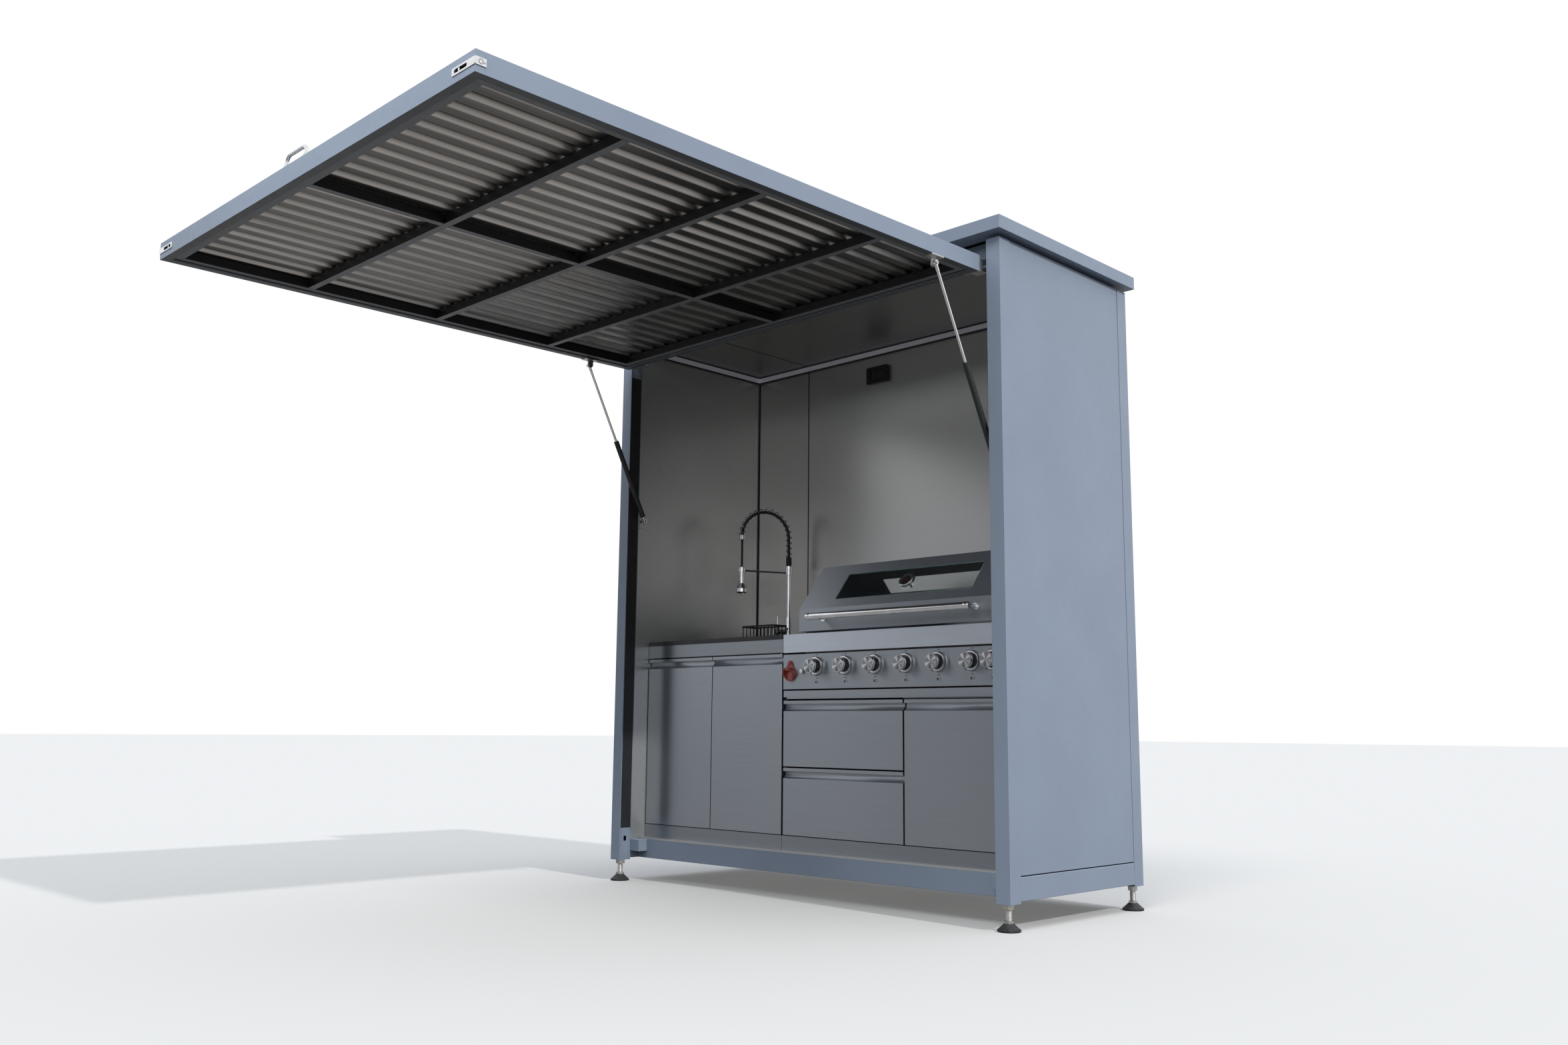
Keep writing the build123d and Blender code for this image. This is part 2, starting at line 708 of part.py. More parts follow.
# Hinge knuckles at the rear corners of the canopy, and strut brackets below it
ear_x = (strut_x - strut_eye_half - stop_gap - 5, strut_x - strut_eye_half - stop_gap)
with BuildPart() as canopy_brackets:
    for low, high in both(*knuckle_x):
        with BuildSketch(canopy_side(low)) as arm:
            with Locations((hinge_arm / 2, hinge_offset)):
                Rectangle(hinge_arm, 2 * knuckle_r)
            with Locations((hinge_arm, hinge_offset)):
                Circle(knuckle_r)
                Circle(hinge_pin_r + run_fit, mode=Mode.SUBTRACT)
        extrude(arm.sketch, amount=high - low)
    for low, high in both(*hinge_plate_x):
        with BuildSketch(canopy_side(low)) as flange:
            with Locations((end_plate / 2, canopy_thick / 2)):
                Rectangle(end_plate, canopy_thick)
        extrude(flange.sketch, amount=high - low)
    for low, high in both(ear_x[0] - 10, canopy_half):
        with BuildSketch(canopy_flat(-bracket_plate)) as foot:
            with Locations(((low + high) / 2, -strut_canopy_at)):
                RectangleRounded(high - low, 64, 4)
        extrude(foot.sketch, amount=bracket_plate)
    for low, high in both(*ear_x):
        with BuildSketch(canopy_side(low)) as ear:
            with Locations((-strut_canopy_at, -strut_canopy_drop / 2)):
                Rectangle(2 * strut_eye_r + 8, strut_canopy_drop)
            with Locations((-strut_canopy_at, -strut_canopy_drop)):
                Circle(strut_eye_r + 4)
        extrude(ear.sketch, amount=high - low)
    for low, high in both(ear_x[0], strut_x + strut_eye_half + stop_gap):
        with BuildSketch(canopy_side(low)) as pin:
            with Locations((-strut_canopy_at, -strut_canopy_drop)):
                Circle(strut_pin_r)
        extrude(pin.sketch, amount=high - low)
    head_low = strut_x + strut_eye_half + stop_gap
    for low, high in both(head_low, head_low + 2.5):
        with BuildSketch(canopy_side(low)) as head:
            with Locations((-strut_canopy_at, -strut_canopy_drop)):
                Circle(strut_pin_r + 2)
        extrude(head.sketch, amount=high - low)
save(canopy_brackets, "canopy_brackets")

# Gas struts between the wall plates and the canopy brackets
strut_low = Vector(0, behind(strut_wall_back), strut_wall_z)
strut_high = canopy_origin + out_dir * strut_canopy_at - up_dir * strut_canopy_drop
strut_line = strut_high - strut_low
strut_length = strut_line.length
strut_dir = strut_line.normalized()
strut_across = Vector(0, strut_dir.Z, -strut_dir.Y)


def strut_plane(x):
    """Plane of one strut: local X along the strut from the wall pivot, local Y across it."""
    return Plane(origin=strut_low + Vector(x, 0, 0), x_dir=strut_dir, z_dir=(1, 0, 0))


def strut_turned(x, outline):
    """Turn a half outline (distance, radius) about one strut's axis."""
    with BuildSketch(strut_plane(x)) as half:
        with BuildLine():
            Polyline(*outline, close=True)
        make_face()
    revolve(half.sketch, axis=Axis(strut_low + Vector(x, 0, 0), strut_dir))


def strut_eye(x, distance, hole):
    """An eye across one strut, with a pin hole if it has one."""
    with BuildSketch(strut_plane(x - strut_eye_half)) as eye:
        with Locations((distance, 0)):
            Circle(strut_eye_r)
            if hole:
                Circle(hole, mode=Mode.SUBTRACT)
    extrude(eye.sketch, amount=2 * strut_eye_half)


strut_bore = strut_tube_r - 1.5
strut_inside = strut_tube_start + 4
piston_at = strut_tube_end - 30
rod_neck = strut_length - strut_eye_r + 2
with BuildPart() as strut_rods:
    for side in (-1, 1):
        strut_turned(
            side * strut_x,
            [
                (piston_at, 0),
                (piston_at, strut_bore - 0.1),
                (piston_at + 8, strut_bore - 0.1),
                (piston_at + 8, strut_rod_r),
                (rod_neck - 24, strut_rod_r),
                (rod_neck - 22, strut_rod_r + 0.8),
                (rod_neck, strut_rod_r + 0.8),
                (rod_neck, 0),
            ],
        )
        strut_eye(side * strut_x, strut_length, 0)
        with BuildSketch(strut_plane(side * strut_x - strut_eye_half)) as pin_hole:
            with Locations((strut_length, 0)):
                Circle(strut_pin_r + run_fit)
        extrude(pin_hole.sketch, amount=2 * strut_eye_half, mode=Mode.SUBTRACT)
save(strut_rods, "strut_rods")

with BuildPart() as strut_cylinders:
    for side in (-1, 1):
        strut_turned(
            side * strut_x,
            [
                (strut_eye_r - 2, 0),
                (strut_eye_r - 2, strut_rod_r + 1),
                (strut_tube_start, strut_rod_r + 1),
                (strut_tube_start, strut_tube_r - 1),
                (strut_tube_start + 1, strut_tube_r),
                (strut_tube_end - 1, strut_tube_r),
                (strut_tube_end, strut_tube_r - 1),
                (strut_tube_end, strut_rod_r + run_fit),
                (strut_tube_end - 18, strut_rod_r + run_fit),
                (strut_tube_end - 18, strut_bore),
                (strut_inside, strut_bore),
                (strut_inside, 0),
            ],
        )
        strut_eye(side * strut_x, 0, 0)
        stud_ends = sorted((side * strut_x, side * (wall_plate_face - moving_gap)))
        rod_x(stud_ends, strut_wall_back, strut_wall_z, strut_pin_r)
save(strut_cylinders, "strut_cylinders")

# Latch plates round both front corners and the bolts that slide behind them
bolt_along = bolt_from_edge - canopy_length
knob_out = 6.0
with BuildPart() as latch_plates:
    with BuildSketch(canopy_run(canopy_length)):
        for side in (-1, 1):
            with Locations((side * (canopy_half + latch_leaf - latch_long / 2), canopy_thick / 2)):
                RectangleRounded(latch_long, latch_height, 3)
            with Locations((side * slot_centre, canopy_thick / 2)):
                SlotOverall(slot_long, 2 * bolt_r, mode=Mode.SUBTRACT)
    extrude(amount=latch_leaf)
    for low, high in both(canopy_half, canopy_half + latch_leaf):
        with BuildSketch(canopy_side(low)) as leaf:
            with Locations((-canopy_length + latch_short / 2, canopy_thick / 2)):
                Rectangle(latch_short, latch_height)
            with Locations((bolt_along, canopy_thick / 2)):
                Circle(bolt_r + run_fit, mode=Mode.SUBTRACT)
        extrude(leaf.sketch, amount=high - low)
save(latch_plates, "latch_plates")

bolt_end = canopy_half + latch_leaf
knob_x = slot_centre - bolt_travel / 2
for side, hand in ((-1, "left"), (1, "right")):
    with BuildPart() as slide_bolt:
        ends = sorted((side * bolt_end, side * (bolt_end - bolt_length)))
        with BuildSketch(canopy_side(ends[0])) as shaft:
            with Locations((bolt_along, canopy_thick / 2)):
                Circle(bolt_r)
        extrude(shaft.sketch, amount=ends[1] - ends[0])
        with BuildSketch(canopy_run(canopy_length - bolt_from_edge)) as thumb:
            with Locations((side * knob_x, canopy_thick / 2)):
                Circle(bolt_r - 1)
        extrude(thumb.sketch, amount=bolt_from_edge + latch_leaf - 0.5)
    save(slide_bolt, f"slide_bolt_{hand}")

# Bow handle on the canopy's outer face
with BuildPart() as canopy_handle:
    grip_plane = canopy_run(canopy_length - handle_from_edge)
    with BuildLine(grip_plane) as bow:
        FilletPolyline(
            (-handle_span / 2, canopy_thick),
            (-handle_span / 2, canopy_thick + handle_rise),
            (handle_span / 2, canopy_thick + handle_rise),
            (handle_span / 2, canopy_thick),
            radius=handle_rise * 0.5,
        )
    with BuildSketch(Plane(bow.line @ 0, z_dir=bow.line % 0)):
        Circle(handle_r)
    sweep()
    with BuildSketch(canopy_flat(canopy_thick)):
        with Locations(*[(x, handle_from_edge - canopy_length) for x in (-handle_span / 2, handle_span / 2)]):
            Circle(handle_foot_r)
    extrude(amount=handle_foot, taper=degrees(atan2(handle_foot_r - handle_r - 0.5, handle_foot)))
save(canopy_handle, "canopy_handle")

# Unit carcasses: thin sheets behind the fronts, with kick plates below
carcass_front = kitchen_back + front_thick + unit_gap
carcass_y = (carcass_front, back_wall_back - unit_gap)
shelf_z = (kick_top - 2 * skin, kick_top - skin)


def kick_plate(x):
    """An angle sheet below the doors: an upright face and a top flange that carries the door pins."""
    with BuildSketch(Plane.YZ.offset(x[0])) as angle:
        with BuildLine():
            Polyline(
                (behind(kitchen_back), floor_top),
                (behind(kitchen_back), kick_top),
                (behind(kitchen_back + front_thick), kick_top),
                (behind(kitchen_back + front_thick), kick_top - skin),
                (behind(kitchen_back + skin), kick_top - skin),
                (behind(kitchen_back + skin), floor_top),
                close=True,
            )
        make_face()
    extrude(angle.sketch, amount=x[1] - x[0])


def channel_front(x, z):
    """A folded front sheet with top and bottom flanges turned to the back."""
    block(x, (kitchen_back, kitchen_back + front_thick), z)
    inside = (z[0] + skin, z[1] - skin)
    block(x, (kitchen_back + skin, kitchen_back + front_thick), inside, Mode.SUBTRACT)


worktop_bottom = worktop_top - worktop_thick
deck_bottom = deck_top - deck_thick
cell_wall = (drawer_right + door_gap / 2, drawer_right + door_gap / 2 + skin)


# Doors and drawer fronts share one folded profile with a finger pull along the top
def front_profile(x, z):
    """A front with a sunken finger pull under a lip, run along its width."""
    face = behind(kitchen_back)
    rear = behind(kitchen_back + front_thick)
    cove_low = z[1] - pull_height
    cove_high = z[1] - pull_lip
    with BuildSketch(Plane.YZ.offset(x[0])) as profile:
        with BuildLine():
            Line((face, z[0]), (face, cove_low))
            ThreePointArc(
                (face, cove_low),
                (face + pull_depth * 0.8, (cove_low * 0.62 + cove_high * 0.38)),
                (face + pull_depth, cove_high),
            )
            Polyline(
                (face + pull_depth, cove_high),
                (face + skin, cove_high),
                (face, cove_high + skin),
                (face, z[1]),
                (rear, z[1]),
                (rear, z[0]),
                (face, z[0]),
            )
        make_face()
    extrude(profile.sketch, amount=x[1] - x[0])
    pan_x = (x[0] + pan_rim, x[1] - pan_rim)
    pan_z = (z[0] + pan_rim, cove_low - pan_rim)
    block(pan_x, (kitchen_back + skin, kitchen_back + front_thick), pan_z, Mode.SUBTRACT)


door_split = (sink_left + sink_right) / 2
door_left_x = (sink_left + door_gap - unit_gap, door_split - door_gap / 2)
door_middle_x = (door_split + door_gap / 2, sink_right - door_gap)
door_right_x = (cell_wall[1] + door_gap, grill_right - door_gap + unit_gap)
pin_back = kitchen_back + front_thick / 2
left_pin_x = door_left_x[0] + door_pin_in
middle_pin_x = door_middle_x[1] - door_pin_in
right_pin_x = door_right_x[1] - door_pin_in
pin_depth = 10.0
doors = (
    ("door_left", door_left_x, door_top, left_pin_x),
    ("door_middle", door_middle_x, door_top, middle_pin_x),
    ("door_right", door_right_x, drawer_top, right_pin_x),
)
for name, span, top, pin_x in doors:
    with BuildPart() as door:
        front_profile(span, (door_bottom, top))
        rod_z(pin_x, pin_back, (door_bottom, door_bottom + pin_depth), door_pin_r + run_fit, Mode.SUBTRACT)
        rod_z(pin_x, pin_back, (top - pin_depth, top), door_pin_r + run_fit, Mode.SUBTRACT)
    save(door, name)

# Drawers: a front with a folded box that hangs by its side flanges on runners
cell_left = grill_left + skin
cell_right = cell_wall[0]
box_gap = runner_width + 2
flange_out = runner_width - 3


def drawer_box(x, y, z):
    """An open box with flanges turned out along both sides."""
    block(x, y, z)
    inner_x_span = (x[0] + skin, x[1] - skin)
    block(inner_x_span, (y[0] + skin, y[1] - skin), (z[0] + skin, z[1]), Mode.SUBTRACT)
    for low, high in ((x[0] - flange_out, x[0]), (x[1], x[1] + flange_out)):
        block((low, high), y, (z[1] - skin, z[1]))


drawer_x = (cell_left + door_gap - skin, drawer_right)
drawer_box_x = (cell_left + box_gap, cell_right - box_gap)
drawer_box_y = (kitchen_back + front_thick, kitchen_back + front_thick + drawer_length)
drawers = (
    ("drawer_upper", (drawer_split + door_gap / 2 + 1, drawer_top)),
    ("drawer_lower", (door_bottom, drawer_split - door_gap / 2 - 1)),
)
drawer_boxes = {}
for name, span in drawers:
    low = span[0] + drawer_set_up
    drawer_boxes[name] = (low, low + drawer_side_height)
    with BuildPart() as drawer:
        front_profile(drawer_x, span)
        drawer_box(drawer_box_x, drawer_box_y, drawer_boxes[name])
    save(drawer, name)

tray_rim = strip_top - 3
tray_x = (cell_left + box_gap, grill_right - skin - box_gap)
tray_y = (kitchen_back + skin, box_back + 40)
with BuildPart() as drip_tray:
    strip_x = (drawer_x[0], grill_right - door_gap + unit_gap)
    block(strip_x, (kitchen_back, kitchen_back + skin), (strip_bottom, strip_top))
    drawer_box(tray_x, tray_y, (tray_bottom, tray_rim))
save(drip_tray, "drip_tray")


def runner(wall_x, side, y, flange_z):
    """A runner bar on a carcass sheet, just below a drawer's flange."""
    x = sorted((wall_x + side * weld_gap, wall_x + side * runner_width))
    top = flange_z - skin - moving_gap
    block(x, y, (top - runner_height, top))


def door_pin(pin_x, top, seat):
    """The two pins of one door: one through the kick plate's flange, one hung from above."""
    low = (kick_top - skin, kick_top)
    rod_z(pin_x, pin_back, low, door_pin_r + run_fit, Mode.SUBTRACT)
    rod_z(pin_x, pin_back, (seat, seat + skin), door_pin_r + run_fit, Mode.SUBTRACT)
    rod_z(pin_x, pin_back, (kick_top - skin, door_bottom + pin_depth - 1), door_pin_r)
    rod_z(pin_x, pin_back, (top - pin_depth + 1, seat + skin), door_pin_r)


# Carcasses with their door pins, and the runners in the grill unit
with BuildPart() as sink_cabinet:
    kick_plate((sink_left, sink_right))
    channel_front((sink_left, sink_right), (fascia_bottom, worktop_bottom))
    for sheet_x in ((sink_left, sink_left + skin), (sink_right - skin, sink_right)):
        block(sheet_x, carcass_y, (floor_top, worktop_bottom))
    block((sink_left + skin + weld_gap, sink_right - skin - weld_gap), carcass_y, shelf_z)
    door_pin(left_pin_x, door_top, fascia_bottom)
    door_pin(middle_pin_x, door_top, fascia_bottom)
save(sink_cabinet, "sink_cabinet")

bridge_z = drawer_top + door_gap
with BuildPart() as grill_cabinet:
    kick_plate((grill_left, grill_right))
    for sheet_x in ((grill_left, grill_left + skin), (grill_right - skin, grill_right)):
        block(sheet_x, carcass_y, (floor_top, deck_bottom))
    for shelf_x in ((grill_left + skin, cell_wall[0]), (cell_wall[1], grill_right - skin)):
        block((shelf_x[0] + weld_gap, shelf_x[1] - weld_gap), carcass_y, shelf_z)
    block(cell_wall, carcass_y, (floor_top, drawer_top))
    bridge_x = (cell_wall[0], grill_right - skin - weld_gap)
    block(bridge_x, (kitchen_back + skin, carcass_front + front_thick), (bridge_z, bridge_z + skin))
    door_pin(right_pin_x, drawer_top, bridge_z)
    run_y = (carcass_front, drawer_box_y[1])
    for name, span in drawers:
        for wall_x, side in ((cell_left, 1), (cell_right, -1)):
            runner(wall_x, side, run_y, drawer_boxes[name][1])
    for wall_x, side in ((cell_left, 1), (grill_right - skin, -1)):
        runner(wall_x, side, (carcass_front, tray_y[1]), tray_rim)
save(grill_cabinet, "grill_cabinet")

# Worktop with the sink cut-out and the tap hole
tap_hole_r = tap_column_r + 2
with BuildPart() as worktop:
    block((sink_left, sink_right), (kitchen_back - 1, back_wall_back - unit_gap), (worktop_bottom, worktop_top))
    with BuildSketch(Plane.XY.offset(worktop_bottom)):
        with Locations((sink_x, behind(sink_back))):
            RectangleRounded(sink_width, sink_length, sink_corner)
        with Locations((tap_x, behind(tap_back))):
            Circle(tap_hole_r)
    extrude(amount=worktop_thick, mode=Mode.SUBTRACT)
save(worktop, "worktop")

bowl_bottom = worktop_bottom - sink_depth
with BuildPart() as sink_bowl:
    with BuildSketch(Plane.XY.offset(bowl_bottom)):
        with Locations((sink_x, behind(sink_back))):
            RectangleRounded(sink_width + 2 * skin, sink_length + 2 * skin, sink_corner + skin)
    extrude(amount=sink_depth)
    with BuildSketch(Plane.XY.offset(worktop_bottom - skin)):
        with Locations((sink_x, behind(sink_back))):
            RectangleRounded(sink_width + 2 * sink_flange, sink_length + 2 * sink_flange, sink_corner + sink_flange)
    extrude(amount=skin)
    with BuildSketch(Plane.XY.offset(bowl_bottom + skin)):
        with Locations((sink_x, behind(sink_back))):
            RectangleRounded(sink_width, sink_length, sink_corner)
    extrude(amount=sink_depth - skin, mode=Mode.SUBTRACT)
    rod_z(sink_x, sink_back, (bowl_bottom, bowl_bottom + skin), drain_r + run_fit, Mode.SUBTRACT)
save(sink_bowl, "sink_bowl")

with BuildPart() as sink_drain:
    rod_z(sink_x, sink_back, (bowl_bottom + skin, bowl_bottom + 2 * skin), drain_r + 12)
    rod_z(sink_x, sink_back, (bowl_bottom - drain_length, bowl_bottom + skin), drain_r)
    rod_z(sink_x, sink_back, (bowl_bottom - drain_nut, bowl_bottom), drain_r + 10)
    rod_z(sink_x, sink_back, (bowl_bottom - drain_length, bowl_bottom + 2 * skin), drain_r - 5, Mode.SUBTRACT)
    with BuildSketch(Plane.XY.offset(bowl_bottom - 4)):
        with Locations((sink_x, behind(sink_back))):
            with PolarLocations(0, 2, angular_range=180):
                Rectangle(2 * drain_r - 4, 4)
    extrude(amount=4)
save(sink_drain, "sink_drain")

# Dish basket: a flat rim on upright slats over a base frame
basket_top = worktop_top + basket_height
slats_long = 9
slats_short = 4
with BuildPart() as dish_basket:
    for low in (worktop_top, basket_top - basket_rim):
        with BuildSketch(Plane.XY.offset(low)):
            with Locations((basket_x, behind(basket_back))):
                RectangleRounded(basket_width, basket_length, 10)
                RectangleRounded(basket_width - 8, basket_length - 8, 6, mode=Mode.SUBTRACT)
        extrude(amount=basket_rim)
    with BuildSketch(Plane.XY.offset(worktop_top + basket_rim / 2)):
        for edge in (-1, 1):
            with Locations((basket_x, behind(basket_back) + edge * (basket_length / 2 - 2))):
                with GridLocations(basket_width / slats_long, 1, slats_long, 1):
                    Rectangle(basket_wire, basket_wire)
            with Locations((basket_x + edge * (basket_width / 2 - 2), behind(basket_back))):
                with GridLocations(1, basket_length / slats_short, 1, slats_short):
                    Rectangle(basket_wire, basket_wire)
    extrude(amount=basket_height - basket_rim)
    with BuildSketch(Plane.XY.offset(worktop_top + 1)):
        with Locations((basket_x, behind(basket_back))):
            with GridLocations(basket_width / slats_long, 1, slats_long, 1):
                Rectangle(basket_wire, basket_length - 6)
    extrude(amount=basket_wire)
save(dish_basket, "dish_basket")

# Tap: a column with a side valve, a swivel arm, a sprung hose and a spray head
tap_axis = Axis((tap_x, behind(tap_back), 0), (0, 0, 1))
tap_out = Vector(-sin(radians(tap_turn)), -cos(radians(tap_turn)), 0)
tap_origin = Vector(tap_x, behind(tap_back), 0)
tap_plane = Plane(origin=tap_origin, x_dir=tap_out, z_dir=tap_out.cross(Vector(0, 0, 1)))
cap_start = lever_reach - 16
with BuildPart() as tap_column:
    with BuildSketch(tap_plane):
        with BuildLine():
            Polyline(
                (0, worktop_top - worktop_thick - 30),
                (tap_column_r, worktop_top - worktop_thick - 30),
                (tap_column_r, worktop_top),
                (tap_sleeve_r + 11, worktop_top),
                (tap_sleeve_r + 11, worktop_top + 4),
                (tap_sleeve_r + 9, worktop_top + 6),
                (tap_sleeve_r, worktop_top + 6),
                (tap_sleeve_r, tap_sleeve_top),
                (tap_column_r, tap_sleeve_top),
                (tap_column_r, tap_column_top),
                (tap_spigot_r, tap_column_top),
                (tap_spigot_r, tap_collar_top - 6),
                (0, tap_collar_top - 6),
                close=True,
            )
        make_face()
    revolve(axis=tap_axis)
    with BuildSketch(Plane(origin=tap_origin + Vector(0, 0, lever_z), x_dir=(0, 0, 1), z_dir=tap_out)):
        Circle(11)
    extrude(amount=cap_start - moving_gap)
    with BuildSketch(Plane(origin=tap_origin + Vector(0, 0, lever_z), x_dir=(0, 0, 1), z_dir=tap_out)):
        Circle(6)
    extrude(amount=cap_start + 8)
save(tap_column, "tap_column")

lever_plane = Plane(
    origin=tap_origin + tap_out * cap_start + Vector(0, 0, lever_z), x_dir=(0, 0, 1), z_dir=tap_out
)
lever_foot = tap_origin + tap_out * (lever_reach - 8)
with BuildPart() as tap_lever:
    with BuildSketch(lever_plane):
        Circle(14)
    extrude(amount=lever_reach - cap_start)
    cap_rims = tap_lever.edges().filter_by(GeomType.CIRCLE)
    fillet(cap_rims.sort_by_distance(tap_origin + tap_out * 200 + Vector(0, 0, lever_z))[0], 3)
    with BuildSketch(lever_plane):
        Circle(6 + run_fit)
    extrude(amount=8 + moving_gap, mode=Mode.SUBTRACT)
    with BuildSketch(Plane.XY.offset(lever_z + 12)):
        with Locations((lever_foot.X, lever_foot.Y)):
            Circle(4)
    extrude(amount=58, taper=1.5)
save(tap_lever, "tap_lever")

holder_z = (tap_arm_z - 7, tap_arm_z + 7)
spray_r = 11.0
spout_point = tap_origin + tap_out * spout_reach
spout_xy = (spout_point.X, spout_point.Y)
with BuildPart() as spout_arm:
    with BuildSketch(tap_plane):
        with BuildLine():
            Polyline(
                (tap_spigot_r + run_fit, tap_column_top + moving_gap),
                (tap_collar_r, tap_column_top + moving_gap),
                (tap_collar_r, tap_collar_top),
                (0, tap_collar_top),
                (0, tap_collar_top - 6 + moving_gap),
                (tap_spigot_r + run_fit, tap_collar_top - 6 + moving_gap),
                close=True,
            )
        make_face()
    revolve(axis=tap_axis)
    arm_start = tap_origin + tap_out * (tap_spigot_r + 3) + Vector(0, 0, tap_arm_z)
    with BuildSketch(Plane(origin=arm_start, x_dir=(0, 0, 1), z_dir=tap_out)):
        Circle(4)
    extrude(amount=spout_reach - spray_r - tap_spigot_r - 5)
    with BuildSketch(Plane.XY.offset(holder_z[0])):
        with Locations(spout_xy):
            Circle(spray_r + 5)
            Circle(spray_r + weld_gap, mode=Mode.SUBTRACT)
    extrude(amount=holder_z[1] - holder_z[0])
save(spout_arm, "spout_arm")

# Sprung hose: up from the collar, over in a half round and down to the spray head
spring_end = tap_collar_top + spring_straight
with BuildPart() as spout_hose:
    with BuildLine(tap_plane) as hose_path:
        Line((0, spout_cuff_top), (0, spring_end))
        ThreePointArc((0, spring_end), (spout_reach / 2, spring_end + spout_reach / 2), (spout_reach, spring_end))
    with BuildSketch(Plane.XY.offset(spout_cuff_top)):
        with Locations((tap_origin.X, tap_origin.Y)):
            Circle(spring_r)
            Circle(spring_r - spring_wall, mode=Mode.SUBTRACT)
    sweep(path=hose_path.line)
    with BuildSketch(Plane.XY.offset(spring_end - ferrule_height)):
        with Locations(spout_xy):
            Circle(spring_r)
    extrude(amount=ferrule_height)
    with BuildSketch(Plane.XY.offset(spray_top)):
        with Locations(spout_xy):
            Circle(hose_r)
    extrude(amount=spring_end - ferrule_height - spray_top)
    with BuildSketch(Plane.XY.offset(tap_collar_top)):
        with Locations((tap_origin.X, tap_origin.Y)):
            Circle(spout_cuff_r)
            Circle(spout_cuff_r - spring_wall, mode=Mode.SUBTRACT)
    extrude(amount=spout_cuff_top - tap_collar_top)
save(spout_hose, "spout_hose")

with BuildPart() as spray_head:
    spray_plane = Plane(origin=(spout_xy[0], spout_xy[1], 0), x_dir=tap_out, z_dir=tap_plane.z_dir)
    with BuildSketch(spray_plane):
        with BuildLine():
            Polyline(
                (0, spray_bottom + 3),
                (19, spray_bottom + 3),
                (20, spray_bottom),
                (24, spray_bottom + 5),
                (24, spray_bottom + 20),
                (spray_r, spray_bottom + 44),
                (spray_r, holder_z[1]),
                (spray_r + 3, holder_z[1]),
                (spray_r + 3, spray_top - 4),
                (spray_r - 2, spray_top),
                (0, spray_top),
                close=True,
            )
        make_face()
    revolve(axis=Axis((spout_xy[0], spout_xy[1], 0), (0, 0, 1)))
save(spray_head, "spray_head")

# Grill deck: a front apron and three strips round the firebox, with the hood's pivot brackets
deck_z = (deck_bottom, deck_top)
deck_in = box_wall / 2
hood_x = (grill_x - hood_width / 2, grill_x + hood_width / 2)
pivot_plate = 6.0
pivot_gap = 1.0
with BuildPart() as grill_deck:
    block((grill_left, grill_right), (kitchen_back, box_front + deck_in), deck_z)
    block((grill_left, grill_right), (kitchen_back, kitchen_back + skin), (apron_bottom, deck_top))
    block((grill_left, grill_right), (box_back - deck_in, carcass_y[1]), deck_z)
    strip_y = (box_front + deck_in + weld_gap, box_back - deck_in - weld_gap)
    block((grill_left, box_x[0] + deck_in), strip_y, deck_z)
    block((box_x[1] - deck_in, grill_right), strip_y, deck_z)
    for side, edge in ((-1, hood_x[0]), (1, hood_x[1])):
        plate_x = sorted((edge + side * pivot_gap, edge + side * (pivot_gap + pivot_plate)))
        with BuildSketch(Plane.YZ.offset(plate_x[0])) as ear:
            with Locations((behind(hood_pivot_back), (deck_top + weld_gap + hood_pivot_z) / 2)):
                Rectangle(4 * hood_pin_r + 8, hood_pivot_z - deck_top - weld_gap)
            with Locations((behind(hood_pivot_back), hood_pivot_z)):
                Circle(2 * hood_pin_r + 4)
                Circle(hood_pin_r + run_fit, mode=Mode.SUBTRACT)
        extrude(ear.sketch, amount=pivot_plate)
        pin_ends = sorted((edge + side * (pivot_gap + pivot_plate), edge - side * 3 * hood_wall))
        rod_x(pin_ends, hood_pivot_back, hood_pivot_z, hood_pin_r)
save(grill_deck, "grill_deck")

# Firebox: four sheets, the front one pierced for the burners, with ledges for tamers and grates
knob_places = [knob_first_x + knob_pitch * place for place in range(burner_count)]
ledge = 14.0
box_in_y = (box_front + box_wall, box_back - box_wall)
with BuildPart() as firebox:
    block(box_x, (box_front, box_in_y[0]), (box_bottom, deck_bottom))
    block(box_x, (box_in_y[1], box_back), (box_bottom, deck_bottom))
    for level in (tamer_z, grate_z):
        block(box_x, (box_in_y[0], box_in_y[0] + ledge), (level - box_wall, level))
        block(box_x, (box_in_y[1] - ledge, box_in_y[1]), (level - box_wall, level))
    for side_x in ((box_x[0], box_x[0] + box_wall), (box_x[1] - box_wall, box_x[1])):
        block(side_x, (box_in_y[0] + ledge + weld_gap, box_in_y[1] - ledge - weld_gap), (box_bottom, deck_bottom))
    for burner_x in knob_places:
        rod_y(burner_x, (box_front, box_in_y[0]), knob_z, burner_r + run_fit, Mode.SUBTRACT)
save(firebox, "firebox")

